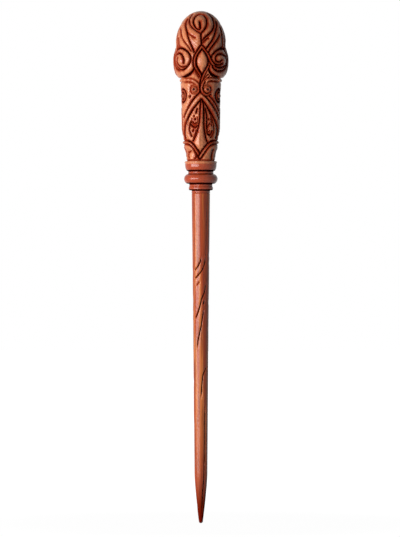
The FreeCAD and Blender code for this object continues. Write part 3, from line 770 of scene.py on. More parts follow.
SPEAR_CUTS = (
    Cut(((0.2, 57.6), (-0.3, 54.0), (-0.5, 50.0), (-0.7, 46.0), (-1.3, 42.0), (-2.1, 38.5), (-2.9, 36.0),
         (-4.0, 33.8), (-5.3, 31.6)), 0.9, 1.3),
    Cut(((1.1, 57.6), (1.9, 54.0), (2.1, 50.0), (2.1, 46.0), (2.2, 42.0), (2.5, 39.0), (3.0, 36.0),
         (3.5, 33.5), (4.1, 31.8), (4.7, 30.6)), 1.1, 1.5),
)

# The sunk panels run along the arches on their outer side and along the spear on their inner side

PANEL_LEFT = ((0.3, 57.6), *ARCH_CUTS[1].plan[2:12], (-10.3, 33.4), (-9.3, 32.4), (-7.6, 32.0),
              *SPEAR_CUTS[0].plan[:0:-1])
PANEL_RIGHT = ((1.0, 58.0), *ARCH_CUTS[3].plan[1:10], (10.4, 34.2), (9.0, 32.3), (7.0, 31.8), (4.6, 31.2),
               *SPEAR_CUTS[1].plan[8:1:-1], (2.0, 54.0))
SPEAR_RIDGE = ((0.6, 56.5), (0.3, 50.0), (0.1, 46.0), (-0.4, 42.0), (-0.8, 38.0), (-1.0, 34.0), (-1.0, 30.0),
               (-0.5, 25.6))

FILIGREE_CUTS = (
    Cut(((-1.7, 53.2), (-2.5, 51.8), (-3.1, 50.0), (-3.5, 48.7)), 0.9, 1.1, (1.0, 0.3)),
    Cut(((-6.5, 44.4), (-7.3, 42.8), (-7.8, 40.7), (-7.9, 38.7), (-7.4, 36.7), (-6.7, 35.1), (-5.8, 33.8)),
        1.25, 1.3, (0.5, 0.8)),
    Cut(((-7.2, 42.6), (-6.2, 41.2), (-5.0, 40.5), (-3.8, 40.2), (-2.8, 40.8),
         (-2.2, 42.2)), 1.0, 1.1, (0.5, 0.5)),
    Cut(((-5.5, 44.6), (-5.2, 43.2), (-4.3, 42.5), (-3.3, 42.9), (-2.9, 44.1)), 0.75, 0.9, (0.6, 0.6)),
    Cut(((-5.9, 46.9), (-6.3, 45.2), (-5.9, 43.0), (-4.5, 41.6), (-3.0, 41.9), (-2.1, 43.6), (-2.2, 46.0),
         (-2.7, 47.8)), 0.7, 0.7, (1.0, 1.0)),
    Cut(((-5.4, 37.9), (-4.9, 38.8), (-4.2, 39.3)), 0.8, 0.9, (0, 0.6)),
    Cut(((-3.0, 39.3), (-3.3, 37.0), (-4.2, 34.9), (-5.2, 33.2)), 0.8, 0.8, (0.8, 0.5)),
    Cut(((-2.9, 54.4), (-4.6, 52.4), (-6.2, 50.0), (-7.5, 47.6), (-8.5, 45.0), (-9.0, 42.4), (-9.2, 40.0)),
        0.6, 0.5, (1.5, 2.0)),
    Cut(((3.1, 53.6), (3.8, 50.4), (4.4, 47.4), (4.3, 44.6), (4.2, 42.0), (4.3, 39.8), (4.7, 38.0)), 1.1, 1.2,
        (1.5, 0.5)),
    Cut(((4.7, 38.4), (4.6, 36.8), (5.2, 35.7), (6.2, 35.4), (7.2, 35.9), (7.7, 37.2), (7.3, 38.6)), 0.9, 1.1,
        (0.3, 0.8)),
    Cut(((6.2, 46.2), (5.6, 45.3), (5.4, 44.4)), 1.0, 1.1, (0.4, 0.4)),
    Cut(((6.4, 43.6), (6.0, 42.2), (5.0, 41.0), (5.2, 39.6)), 0.8, 0.9, (0.6, 0.6)),
    Cut(((3.7, 53.6), (5.3, 51.2), (6.8, 48.2), (8.0, 45.2), (8.7, 42.2), (9.0, 39.2), (8.6, 36.4),
         (7.5, 34.3), (6.1, 33.6)), 0.8, 0.8, (1.5, 0.8)),
    Cut(((6.6, 47.2), (7.3, 44.6), (7.6, 42.0), (7.4, 40.2)), 0.9, 0.8, (1.0, 1.0)),
)

PANEL_DEPTH = 0.45
PIT_DEPTH = 1.1
FILIGREE_PITS = (              # sideways, height and radius
    (-4.6, 47.5, 0.4), (-3.9, 45.4, 0.6), (-5.5, 37.8, 0.5), (5.8, 37.5, 0.45),
)

GARLAND_Z = 30.8
GARLAND = (
    Band(((-10.0, GARLAND_Z), (-9.0, 30.7), (-8.0, 30.4), (-6.6, 29.6), (-5.2, 28.2), (-3.8, 26.4),
          (-2.6, 24.7), (-1.6, 23.2), (-0.7, 21.8), (-0.4, 21.3)), 0.65, 0.4, 1.0, 1.2),
    Band(((10.0, GARLAND_Z), (9.0, 30.7), (8.0, 30.4), (6.5, 29.7), (5.0, 28.5), (3.6, 26.9), (2.4, 25.3),
          (1.2, 23.7), (0.2, 22.3), (-0.5, 21.3)), 0.5, 0.35, 1.1, 1.3),
)
SKIRT_CUTS = (
    Cut(((-0.5, 20.9), (-0.5, 19.6)), 1.35, 1.7),
    Cut(((-8.4, 23.7), (-7.0, 24.6), (-5.8, 25.4)), 0.8, 0.7, (0.5, 0.8)),
    Cut(((-8.0, 23.6), (-7.9, 21.9), (-7.5, 20.2)), 0.8, 0.7, (0.3, 0.5)),
    Cut(((-3.6, 23.6), (-3.0, 22.0), (-3.4, 20.6), (-4.8, 19.9)), 0.9, 0.8, (1.0, 0.5)),
    Cut(((9.0, 27.4), (7.9, 25.2), (7.4, 23.4), (7.1, 21.6), (7.1, 19.8)), 1.1, 1.1, (1.5, 0)),
)
GRIP_FOOT_LINE = 19.3          # height of the cut round the grip's foot


def carve_throat(relief, turn):
    """The hollow between the cheeks, which carries the grip's surface on up to the bud."""
    above = relief.points[:, 2] - HEAD_Z
    over = off_axis(relief.points) - relief.radius_at(HEAD_Z) - THROAT_SLOPE * above
    lean = THROAT_SLOPE * ramp(above, 0, 4)
    relief.sink(np.array(THROAT), turn, np.maximum(over, 0), lean)
    cut_all(relief, THROAT_CUTS, turn)


def carve_belt(relief, left, right, turn):
    """A strap that runs from the left of one face round the flank to the right of the other face."""
    height = left.plan[0][1]
    side = np.array([(reach, height) for reach in BELT_SIDE])
    path = np.vstack([
        relief.on_skin(smooth(left.plan)[::-1], turn),
        relief.on_skin(side, turn - 90),
        relief.on_skin(smooth(right.plan), turn + 180),
    ])
    fade = (left.fade[1], right.fade[1])
    relief.strap(path, left.half, left.height, left.width, left.depth, fade, BELT_FLAT)


def carve_panels(relief, turn):
    """The spear between two sunk panels with their filigree, and what hangs below the garland."""
    for plan in (PANEL_LEFT, PANEL_RIGHT):
        relief.sink(np.array(plan), turn, PANEL_DEPTH)
    cut_all(relief, FILIGREE_CUTS, turn)
    for x, z, size in FILIGREE_PITS:
        relief.pit(turn, x, z, size, PIT_DEPTH)
    relief.ridge(relief.on_skin(smooth(SPEAR_RIDGE), turn), half=3.2, height=0.8, fade=(2, 2))
    cut_all(relief, SPEAR_CUTS, turn)
    cut_all(relief, SKIRT_CUTS, turn)


def carve_grip_side(relief, turn):
    """A ridged leaf between the arches, and a smaller one under the garland."""
    for leaf in GRIP_LEAVES:
        carve_leaf(relief, turn, leaf)


def carve_rounds(relief, turn):
    """The ringed round at each side of a face."""
    z = PEG_Z["side_pegs"]
    for hand in (-1, 1):
        centre = turn + hand * SIDE_PEG_TURN
        relief.mound(centre, z, ROUND_RADIUS, ROUND_RADIUS, height=0.2)
        cut_ring(relief, centre, z, ROUND_RADIUS, width=1.1, depth=1.1)
        cut_ring(relief, centre, z, ROUND_CORE, width=0.9, depth=0.9)


def carve_seats(relief, turn):
    """A shallow ring round each eye, and the seats of all four pegs of a face."""
    for hand in (-1, 1):
        cut_ring(relief, turn + hand * EYE_TURN, PEG_Z["eye_pegs"], EYE_RING, width=0.8, depth=0.6)
        for node, side in PEG_SIDES.items():
            relief.seat(turn + hand * side, PEG_Z[node], PEG_RADIUS[node] + SEAT_ROOM, PEG_SINK)


def carve_wand(relief):
    """All the carving, from the lowest layer up. The back repeats the front."""
    faces, flanks = (0, 180), (90, 270)
    for turn in faces:
        cut_all(relief, DOME_CUTS, turn)
    for turn in flanks:
        carve_head_side(relief, turn)
        carve_grip_side(relief, turn)
    for turn in faces:
        carve_volutes(relief, turn)
        carve_panels(relief, turn)
        carve_rounds(relief, turn)
        cut_all(relief, ARCH_CUTS, turn)
    for turn in faces:
        carve_throat(relief, turn)
        carve_belt(relief, *GARLAND, turn)
        carve_belt(relief, WAIST_LEFT, WAIST_RIGHT, turn)
        band_all(relief, (LEAF_HOOK, FOOT), turn)
        carve_bud(relief, turn)
        cut_all(relief, (STEM,), turn)
        carve_seats(relief, turn)
    around = np.linspace(0, 2 * math.pi * relief.radius_at(GRIP_FOOT_LINE), 120)
    foot = np.column_stack([around, np.full(len(around), GRIP_FOOT_LINE)])
    relief.groove(relief.round_skin(foot, 0), width=0.9, depth=0.6)


# Head and grip outlines

def head_skin(size, rows):
    """The head's outside, from its base to its top."""
    foot = (size.waist_radius / MM, HEAD_Z)
    cheek_r = radius_of("head")
    cheek_z = HEAD_Z + size.cheek_height / MM
    dome_r = size.dome_radius / MM
    spring_z = TOP_Z - size.dome_height / MM
    return run(
        quarter(foot, (cheek_r, HEAD_Z), (cheek_r, cheek_z), int(rows * 0.22)),
        ogee((cheek_r, cheek_z), (dome_r, spring_z), int(rows * 0.22)),
        quarter((dome_r, spring_z), (dome_r, TOP_Z), (0, TOP_Z), int(rows * 0.56)),
        np.array([[0, TOP_Z]]),
    )


def grip_skin(size, rows):
    """The grip's outside, from its base to the head."""
    foot_r = size.grip_foot_radius / MM
    foot_z = GRIP_Z + size.grip_foot_height / MM
    garland = (size.garland_radius / MM, GRIP_Z + size.garland_height / MM)
    belly = (size.belly_radius / MM, garland[1] + size.belly_rise / MM)
    throat = (size.throat_radius / MM, HEAD_Z - size.waist_drop / MM)
    waist = (size.waist_radius / MM, HEAD_Z)
    return run(
        straight((foot_r, GRIP_Z), (foot_r, foot_z), int(rows * 0.06)),
        ogee((foot_r, foot_z), garland, int(rows * 0.17)),
        ogee(garland, belly, int(rows * 0.22)),
        straight(belly, throat, int(rows * 0.42)),
        ogee(throat, waist, int(rows * 0.13)),
        np.array([waist]),
    )


ON_SKIN = 0.02                 # how close to its outline a point of the skin lies
EASE_ABOVE = 0.3               # how far above a skin's lower edge its points are eased
EASE_BESIDE = 0.15             # how far from the joint between grip and head they are


def carve(piece, skin, whole, plan, look):
    """Carves the part of a spun piece that lies on its skin, which is a stretch of the whole skin."""
    mesh = piece.data
    places = points_of(mesh)
    z = places[:, 2]
    on_skin = np.abs(off_axis(places) - np.interp(z, skin[:, 1], skin[:, 0])) < ON_SKIN
    relief = Relief(places[on_skin], whole, look)
    plan(relief)
    places[on_skin], hollow, crest = relief.carved()
    move_points(mesh, places)
    ease(mesh, on_skin & (z > skin[0, 1] + EASE_ABOVE) & (np.abs(z - HEAD_Z) > EASE_BESIDE))
    for name, made in (("hollow", hollow), ("crest", crest)):
        values = np.zeros(len(places))
        values[on_skin] = made
        keep_values(mesh, name, values)


def handle_skin(size):
    """The outside of grip and head together, so that the carving runs on from one to the other."""
    return run(grip_skin(size, GRIP_ROWS)[:-1], head_skin(size, HEAD_ROWS))


class WAND_OT_head(bpy.types.Operator):
    """Models the carved head round its dowel's socket"""

    bl_idname = "wand.head"
    bl_label = "Head"

    def execute(self, context):
        size = sizes(context)
        skin = head_skin(size, HEAD_ROWS)
        socket_r = radius_of("head_dowel") + size.fit / MM
        socket_top = high("head_dowel") + size.glue_room / MM
        inside = np.array([[0, socket_top], [socket_r, socket_top], [socket_r, HEAD_Z]])
        piece = spin_outline("carved_head", run(inside, skin), HANDLE_TURNS)
        carve(piece, skin, handle_skin(size), carve_wand, style(context))
        crisp(piece, CARVED_EDGE)
        place(piece, "carved_wood", carved_wood(context), "head")
        return {"FINISHED"}


class WAND_OT_grip(bpy.types.Operator):
    """Models the carved grip round its two sockets and their vent"""

    bl_idname = "wand.grip"
    bl_label = "Grip"

    def execute(self, context):
        size = sizes(context)
        skin = grip_skin(size, GRIP_ROWS)
        bore = (size.tenon_radius + size.fit) / MM
        vent = size.vent_radius / MM
        tenon_end = TENON_TOP_Z + size.glue_room / MM
        dowel_end = tenon_end + size.socket_web / MM
        dowel_bore = radius_of("head_dowel") + size.fit / MM
        inside = np.array([
            [dowel_bore, HEAD_Z],
            [dowel_bore, dowel_end],
            [vent, dowel_end],
            [vent, tenon_end],
            [bore, tenon_end],
            [bore, GRIP_Z],
        ])
        piece = spin_outline("carved_grip", run(skin, inside), HANDLE_TURNS, closed=True)
        carve(piece, skin, handle_skin(size), carve_wand, style(context))
        crisp(piece, CARVED_EDGE)
        place(piece, "carved_wood", carved_wood(context), "grip")
        return {"FINISHED"}


# Collar

def ring_outline(bore, outside):
    """A ring's closed outline, from its bore's top down and then up its outside."""
    top, bottom = outside[-1][1], outside[0][1]
    return run(np.array([[bore, top], [bore, bottom]]), outside)


def bead_outside(node, foot, rim, steps=14):
    """A round bead between two flat ends of those radii."""
    bottom, top, radius = low(node), high(node), radius_of(node)
    middle = (bottom + top) / 2
    return run(
        quarter((foot, bottom), (radius, bottom), (radius, middle), steps),
        quarter((radius, middle), (radius, top), (rim, top), steps),
        np.array([[rim, top]]),
    )


def spacer_outside(node, edge=0.3, steps=6):
    """A plain ring with rounded edges, very slightly hollow in the middle."""
    bottom, top, radius = low(node), high(node), radius_of(node)
    middle = (bottom + top) / 2
    waist = radius - 0.12
    return run(
        quarter((radius - edge, bottom), (radius, bottom), (radius, bottom + edge), steps),
        ogee((radius, bottom + edge), (waist, middle), steps),
        ogee((waist, middle), (radius, top - edge), steps),
        quarter((radius, top - edge), (radius, top), (radius - edge, top), steps),
        np.array([[radius - edge, top]]),
    )


def cup_outside(steps=14):
    """The bowl under the grip, with its half-round lip and a fine cut line under it."""
    bottom, top, lip_r = low("collar_cup"), high("collar_cup"), radius_of("collar_cup")
    lip, foot, wall = 1.5, 8.4, lip_r - 0.35
    heel, line = (wall, bottom + 3.4), (wall + 0.1, top - lip - 0.35)
    under, edge, flat = (wall - 0.1, top - lip), (lip_r, top - lip / 2), (lip_r - lip / 2, top)
    return run(
        quarter((foot, bottom), (wall, bottom), heel, steps),
        straight(heel, line, 4),
        quarter(line, (wall - 0.25, top - lip - 0.3), under, 4),
        quarter(under, (lip_r, top - lip), edge, steps),
        quarter(edge, (lip_r, top), flat, steps),
        np.array([flat]),
    )


# painted shade: the rings darken at their joints, most under the beads and the cup, where shade falls
STAIN_AND_SHADE_REACH = 1.7              # how far the stain and painted shade reach into a ring from a joint
JOINT_STAIN_AND_SHADE = {                # how dark the stain and painted shade are at a ring's foot and at its top
    "neck_ring": (0.6, 0.9),
    "small_bead": (1.0, 0.5),
    "lower_spacer": (0.5, 1.0),
    "large_bead": (1.0, 0.7),
    "upper_spacer": (0.7, 1.0),
    "collar_cup": (1.0, 0.0),
}


def mark_joint_stain_and_shade(ring, foot, top):
    """Stores the values of stain and painted shade for a ring: dark at its two ends, darkest under the beads
    and the cup.
    """
    z = points_of(ring.data)[:, 2]
    dark = np.maximum(foot * ramp(z - z.min(), STAIN_AND_SHADE_REACH, 0), top * ramp(z.max() - z, STAIN_AND_SHADE_REACH, 0))
    keep_values(ring.data, "hollow", dark)
    keep_values(ring.data, "crest", 1 - dark)


class WAND_OT_collar(bpy.types.Operator):
    """Turns the collar's six rings"""

    bl_idname = "wand.collar"
    bl_label = "Collar"

    def execute(self, context):
        size = sizes(context)
        bore = (size.tenon_radius + size.fit) / MM
        wood = turned_wood(context)
        rings = {
            "neck_ring": spacer_outside("neck_ring", edge=0.2),
            "small_bead": bead_outside("small_bead", foot=6.95, rim=7.5),
            "lower_spacer": spacer_outside("lower_spacer"),
            "large_bead": bead_outside("large_bead", foot=8, rim=8, steps=28),
            "upper_spacer": spacer_outside("upper_spacer"),
            "collar_cup": cup_outside(),
        }
        for node, outside in rings.items():
            piece = spin_outline(f"turned_{node}", ring_outline(bore, outside), RING_TURNS, closed=True)
            mark_joint_stain_and_shade(piece, *JOINT_STAIN_AND_SHADE[node])
            crisp(piece)
            place(piece, "turned_wood", wood, node)
        return {"FINISHED"}


# Shaft

TWIST_CUTS = (
    Cut(((0.2, -42.0), (-0.5, -46.4), (-4.3, -52.1)), 0.7, 1.0, (3, 1)),
    Cut(((4.1, -3.5), (4.1, -20.0), (3.8, -34.0), (3.3, -43.5)), 0.7, 0.7, (3, 3)),
    Cut(((3.5, -40.5), (3.1, -44.8), (2.2, -48.6), (0.2, -52.4), (-4.2, -57.1)), 0.7, 1.1, (5, 1)),
    Cut(((-0.3, -58.5), (-3.2, -61.6)), 0.6, 0.9, (1, 1)),
    Cut(((3.4, -60.5), (2.6, -65.4), (0.6, -70.3), (-1.5, -77.7), (-3.3, -81.8), (-4.2, -84.3)), 0.8, 1.3,
        (1, 3)),
    Cut(((2.6, -69.5), (1.6, -74.8)), 0.75, 1.2, (1.5, 2)),
    Cut(((2.3, -75.7), (0.3, -87.1), (-1.9, -97.0), (-2.8, -104.8)), 0.75, 1.15, (3, 6)),
    Cut(((4.1, -113.1), (2.8, -115.9), (1.4, -119.2), (1.0, -123.3), (0.6, -128.2), (0.1, -135.7)), 0.7, 1.1,
        (2, 5)),
    Cut(((2.9, -136.6), (2.6, -150.9), (2.5, -161.2), (2.3, -175.6), (2.1, -184.8), (1.3, -194.7),
         (0.8, -204.6), (0.9, -210.0)), 0.7, 1.15, (8, 6)),
)
SHAFT_CALM = 0.3               # the shaft's tremor and pillows, as a share of the carving's
SHAFT_CUT = 0.75               # the same for the depth of its cuts
SHAFT_REPEATS = ((0, 0.0), (128, 9.0), (236, -7.0))    # each one's turn in degrees and how much higher it is
UNCUT_TIP = 5                  # how far the cuts stay above the tip
TENON_CHAMFER = 0.6
POINT_SHOULDER = 0.25          # how much of the point's length its round shoulder takes


def shaft_skin(size, rows):
    """The shaft's outside below the collar, from its tip up to the shoulder."""
    heel_z = TIP_Z + size.point_length / MM
    middle_z = SHOULDER_Z - size.shaft_middle_drop / MM
    top_r, middle_r = size.shaft_top_radius / MM, size.shaft_middle_radius / MM
    heel_r, nose_r = size.shaft_heel_radius / MM, size.nose_radius / MM
    nose = np.array([nose_r, TIP_Z + nose_r])
    heel = np.array([heel_r, heel_z])
    bend = np.array([heel_r, heel_z - size.point_length / MM * POINT_SHOULDER])
    t = np.linspace(0, 1, int(rows * 0.15), endpoint=False)[:, None]
    point = (1 - t) ** 2 * nose + 2 * (1 - t) * t * bend + t ** 2 * heel
    tip = quarter((0, TIP_Z), (nose_r, TIP_Z), nose, 12)
    return run(
        tip,
        point,
        straight(heel, (middle_r, middle_z), int(rows * 0.45)),
        straight((middle_r, middle_z), (top_r, SHOULDER_Z), int(rows * 0.38)),
        np.array([[top_r, SHOULDER_Z]]),
    )


def carve_shaft(relief):
    """The twisted cuts, three times round the shaft."""
    relief.tremor *= SHAFT_CALM
    relief.pillow_depth *= SHAFT_CALM
    relief.cut_depth *= SHAFT_CUT
    for turn, lift in SHAFT_REPEATS:
        for plan, width, depth, fade in TWIST_CUTS:
            path = smooth(np.asarray(plan) + (0, lift), 1.0)
            path = path[path[:, 1] > TIP_Z + UNCUT_TIP]
            relief.groove(relief.on_skin(path, turn), width, depth, fade)


class WAND_OT_shaft(bpy.types.Operator):
    """Models the tapered shaft with its tenon and the pin's hole"""

    bl_idname = "wand.shaft"
    bl_label = "Shaft"

    def execute(self, context):
        size = sizes(context)
        skin = shaft_skin(size, SHAFT_ROWS)
        tenon = size.tenon_radius / MM
        hole = radius_of("core_pin") + size.fit / MM
        hole_bottom = low("core_pin") - size.glue_room / MM
        inside = np.array([
            [tenon, SHOULDER_Z],
            [tenon, TENON_TOP_Z - TENON_CHAMFER],
            [tenon - TENON_CHAMFER, TENON_TOP_Z],
            [hole, TENON_TOP_Z],
            [hole, hole_bottom],
            [0, hole_bottom],
        ])
        piece = spin_outline("tapered_shaft", run(skin, inside), SHAFT_TURNS)
        carve(piece, skin, skin, carve_shaft, style(context))
        crisp(piece, CARVED_EDGE)
        place(piece, "shaft_wood", shaft_wood(context), "shaft")
        return {"FINISHED"}


# Pegs

PEG_HEAD_HEIGHT = 1.4
PEG_HEAD_SUNK = 0.25           # how far a head's rim lies below its seat
PEG_SHANK_RADIUS = 1.0
PEG_BITE = 1.6                 # how far a shank reaches into the dowel or the tenon
DIMPLE_RADIUS = 0.85
DIMPLE_DEPTH = 0.8


def peg_outline(radius, seat_r, steps=12):
    """A peg's outline, with its radius first and its distance from the wand's axis second."""
    top = seat_r + PEG_HEAD_HEIGHT
    floor = top - DIMPLE_DEPTH
    start = radius_of("head_dowel") - PEG_BITE
    return run(
        np.array([[0, start], [PEG_SHANK_RADIUS, start], [PEG_SHANK_RADIUS, seat_r]]),
        quarter((radius, seat_r - PEG_HEAD_SUNK), (radius, top), (DIMPLE_RADIUS, top), steps),
        quarter((DIMPLE_RADIUS, top), (DIMPLE_RADIUS, floor), (0, floor), steps // 2),
        np.array([[0, floor]]),
    )


def mark_dimple(peg):
    """Stores the stain's values for a peg that still stands along Z: dark in its dimple and at its rim."""
    places = points_of(peg.data)
    r, z = off_axis(places), places[:, 2]
    top = z.max()
    rim = r[z > top - PEG_HEAD_HEIGHT].max()
    dimple = ramp(r, DIMPLE_RADIUS * 1.15, DIMPLE_RADIUS * 0.85)
    edge = 0.6 * ramp(r, rim * 0.9, rim)
    keep_values(peg.data, "hollow", np.maximum(dimple, edge))
    keep_values(peg.data, "crest", np.clip(1 - edge - dimple, 0, 1))


def lay_peg(piece, turn, z):
    """Lays a peg that was spun along +Z out from the wand's axis."""
    out = Matrix.Rotation(math.radians(turn), 4, "Z") @ Matrix.Rotation(math.radians(90), 4, "X")
    piece.data.transform(Matrix.Translation((0, 0, z * MM)) @ out)


def join_pieces(pieces, name):
    """Makes one object of several."""
    bm = bmesh.new()
    for piece in pieces:
        bm.from_mesh(piece.data)
        bpy.data.objects.remove(piece)
    return finish_object(name, bm)


class WAND_OT_pegs(bpy.types.Operator):
    """Turns the round-headed pegs: the eyes and the side pegs"""

    bl_idname = "wand.pegs"
    bl_label = "Pegs"

    def execute(self, context):
        wood = peg_wood(context)
        handle = handle_skin(sizes(context))
        for node, turn in PEG_SIDES.items():
            surface = np.interp(PEG_Z[node], handle[:, 1], handle[:, 0])
            outline = peg_outline(PEG_RADIUS[node], surface - PEG_SINK)
            made = []
            for face in (0, 180):
                for hand in (-1, 1):
                    peg = spin_outline(f"{node}_one", outline, PEG_FACETS)
                    mark_dimple(peg)
                    lay_peg(peg, face + hand * turn, PEG_Z[node])
                    made.append(peg)
            piece = join_pieces(made, f"turned_{node}")
            place(piece, "peg_wood", wood, node)
        return {"FINISHED"}


# Materials

def new_group(name, inputs, outputs):
    """An empty shader node group with those named sockets."""
    group = bpy.data.node_groups.new(name, "ShaderNodeTree")
    for label, kind, value in inputs:
        socket = group.interface.new_socket(label, in_out="INPUT", socket_type=kind)
        if value is not None:
            socket.default_value = value
    for label, kind in outputs:
        group.interface.new_socket(label, in_out="OUTPUT", socket_type=kind)
    return group


def add(tree, kind, **values):
    """A node with those properties."""
    node = tree.nodes.new(kind)
    for key, value in values.items():
        setattr(node, key, value)
    return node


def feed(tree, node, inputs):
    """Gives a node its inputs, by name or by number: a socket is linked and a value is stored."""
    for key, value in inputs.items():
        if isinstance(value, bpy.types.NodeSocket):
            tree.links.new(value, node.inputs[key])
        else:
            node.inputs[key].default_value = value
    return node


def math_node(tree, operation, *values):
    node = add(tree, "ShaderNodeMath", operation=operation)
    return feed(tree, node, dict(enumerate(values))).outputs[0]


def mix_colour(tree, share, a, b):
    node = add(tree, "ShaderNodeMix", data_type="RGBA")
    return feed(tree, node, {0: share, 6: a, 7: b}).outputs[2]


def map_range(tree, value, start, end, low_value=0.0, high_value=1.0):
    node = add(tree, "ShaderNodeMapRange", interpolation_type="SMOOTHSTEP")
    limits = {"From Min": start, "From Max": end, "To Min": low_value, "To Max": high_value}
    return feed(tree, node, {"Value": value, **limits}).outputs["Result"]


def place_on_piece(tree):
    """A point's place, in metres from the frame's origin."""
    return add(tree, "ShaderNodeTexCoord").outputs["Object"]


def height_on_piece(tree):
    """A point's height, in metres above the frame's origin."""
    split = add(tree, "ShaderNodeSeparateXYZ")
    return feed(tree, split, {0: place_on_piece(tree)}).outputs["Z"]


def noise(tree, where, **inputs):
    """A noise texture's value, with those inputs."""
    return feed(tree, add(tree, "ShaderNodeTexNoise"), {"Vector": where, **inputs}).outputs["Fac"]


def grain_group():
    """Long grain along Z: a mask of dark lines, a mask of broad figure, and a height for the bump."""
    name = "Wood grain"
    if name in bpy.data.node_groups:
        return bpy.data.node_groups[name]
    group = new_group(
        name,
        [("Fineness", "NodeSocketFloat", 1.0), ("Stretch", "NodeSocketFloat", 0.06)],
        [("Lines", "NodeSocketFloat"), ("Figure", "NodeSocketFloat"), ("Height", "NodeSocketFloat")],
    )
    given = add(group, "NodeGroupInput")
    squeeze = feed(group, add(group, "ShaderNodeCombineXYZ"), {0: 1, 1: 1, 2: given.outputs["Stretch"]})
    stretched = add(group, "ShaderNodeVectorMath", operation="MULTIPLY")
    feed(group, stretched, {0: place_on_piece(group), 1: squeeze.outputs[0]})
    scaled = add(group, "ShaderNodeVectorMath", operation="SCALE")
    feed(group, scaled, {0: stretched.outputs[0], "Scale": given.outputs["Fineness"]})
    fine = noise(group, scaled.outputs[0], Scale=1700, Detail=4, Roughness=0.6)
    broad = noise(group, scaled.outputs[0], Scale=380, Detail=3, Distortion=0.6)
    lines = map_range(group, fine, 0.48, 0.70)
    figure = map_range(group, broad, 0.35, 0.68)
    height = math_node(group, "SUBTRACT", 1.0, lines)
    feed(group, add(group, "NodeGroupOutput"), {"Lines": lines, "Figure": figure, "Height": height})
    return group


def patina_group():
    """What the carving's stored values mean: how dark the stain is (on the collar also painted shade at its
    joints), how much painted shade lies beside the cuts, and how polished the crest is, which is partly a
    painted highlight.
    """
    name = "Carving patina"
    if name in bpy.data.node_groups:
        return bpy.data.node_groups[name]
    group = new_group(
        name,
        [("Unevenness", "NodeSocketFloat", 0.25)],
        [("Stain and shade", "NodeSocketFloat"), ("Shade", "NodeSocketFloat"), ("Polish and highlight", "NodeSocketFloat")],
    )
    given = add(group, "NodeGroupInput")
    hollow = add(group, "ShaderNodeAttribute", attribute_name="hollow")
    crest = add(group, "ShaderNodeAttribute", attribute_name="crest")
    cloud = noise(group, place_on_piece(group), Scale=260, Detail=3)
    centred = math_node(group, "SUBTRACT", cloud, 0.5)
    uneven = math_node(group, "MULTIPLY", centred, given.outputs["Unevenness"])
    in_cut = math_node(group, "ADD", hollow.outputs["Fac"], uneven)
    on_crest = math_node(group, "ADD", crest.outputs["Fac"], uneven)
    stain = map_range(group, in_cut, 0.50, 0.86)
    # painted shade: 1 beside the cuts, fading to 0 on the crests
    shade = map_range(group, on_crest, 0.1, 0.9, 1.0, 0.0)
    # polish on the crests far from the cuts, partly a painted highlight
    polish_and_highlight = map_range(group, on_crest, 0.55, 1.25)
    feed(group, add(group, "NodeGroupOutput"), {"Stain and shade": stain, "Shade": shade, "Polish and highlight": polish_and_highlight})
    return group


def place_group(tree, group, **values):
    """The outputs of a shared group, with those inputs."""
    return feed(tree, add(tree, "ShaderNodeGroup", node_tree=group), values).outputs


WARM = (1.0, 0.84, 0.74, 1)    # tint of what the surfaces reflect
DULL = 0.8                     # roughness where the stain has dried
VARNISHED = 0.4                # roughness of the wood under its varnish


def new_material(name, roughness, gloss):
    """A material with a Principled shader, whose constant values are set on its own sockets."""
    material = bpy.data.materials.new(name)
    material.use_nodes = True
    tree = material.node_tree
    shader = tree.nodes["Principled BSDF"]
    feed(tree, shader, {"Roughness": roughness, "Specular IOR Level": gloss, "Specular Tint": WARM})
    return material, tree, shader


def draw_grain(tree, face, tone, grain, share):
    """A wood's colour with the dark lines of its grain, at that share of their strength."""
    return mix_colour(tree, math_node(tree, "MULTIPLY", grain["Lines"], share), face, tone.grain)


def add_stain_and_shade(tree, shader, face, tone, patina):
    """Gives the shader a wood's colour, with the stain that was left in the cuts, which on the collar also
    paints the shade in its joints.
    """
    feed(tree, shader, {"Base Color": mix_colour(tree, patina["Stain and shade"], face, tone.stain)})


def add_dullness(tree, shader, patina, roughness):
    """Makes the surface duller where the stain is."""
    feed(tree, shader, {"Roughness": map_range(tree, patina["Stain and shade"], 0.0, 1.0, roughness, DULL)})


def add_varnish(tree, shader, bare, weight, roughness):
    """A clear coat that thins out to nothing where the given mask is 1."""
    coat = map_range(tree, bare, 0.0, 1.0, weight, 0.0)
    feed(tree, shader, {"Coat Weight": coat, "Coat Roughness": roughness})


def add_bump(tree, shader, height, strength, distance):
    inputs = {"Strength": strength, "Distance": distance, "Height": height}
    feed(tree, shader, {"Normal": feed(tree, add(tree, "ShaderNodeBump"), inputs).outputs["Normal"]})


def carved_wood(context):
    """Oiled and varnished wood, dark with stain in the cuts, with painted shade beside them, and polished on
    the crests, which is partly a painted highlight.
    """
    name = "oiled_carving"
    if name in bpy.data.materials:
        return bpy.data.materials[name]
    tone = colours(context)
    material, tree, shader = new_material(name, VARNISHED, gloss=0.0)
    grain = place_group(tree, grain_group(), Fineness=1.0, Stretch=0.07)
    patina = place_group(tree, patina_group(), Unevenness=0.3)
    face = mix_colour(tree, grain["Figure"], tone.carved, tone.crest)
    # polish, partly a painted highlight: the crests are paled towards the crest colour
    polished = mix_colour(tree, patina["Polish and highlight"], face, tone.crest)
    lined = draw_grain(tree, polished, tone, grain, share=0.4)
    # painted shade: the wood darkens towards the groove shade colour beside the cuts
    shaded = mix_colour(tree, math_node(tree, "MULTIPLY", patina["Shade"], 0.9), lined, tone.groove_shade)
    add_stain_and_shade(tree, shader, shaded, tone, patina)
    add_dullness(tree, shader, patina, VARNISHED)
    add_varnish(tree, shader, patina["Shade"], weight=0.6, roughness=0.25)
    add_bump(tree, shader, grain["Height"], strength=0.25, distance=0.00008)
    return material


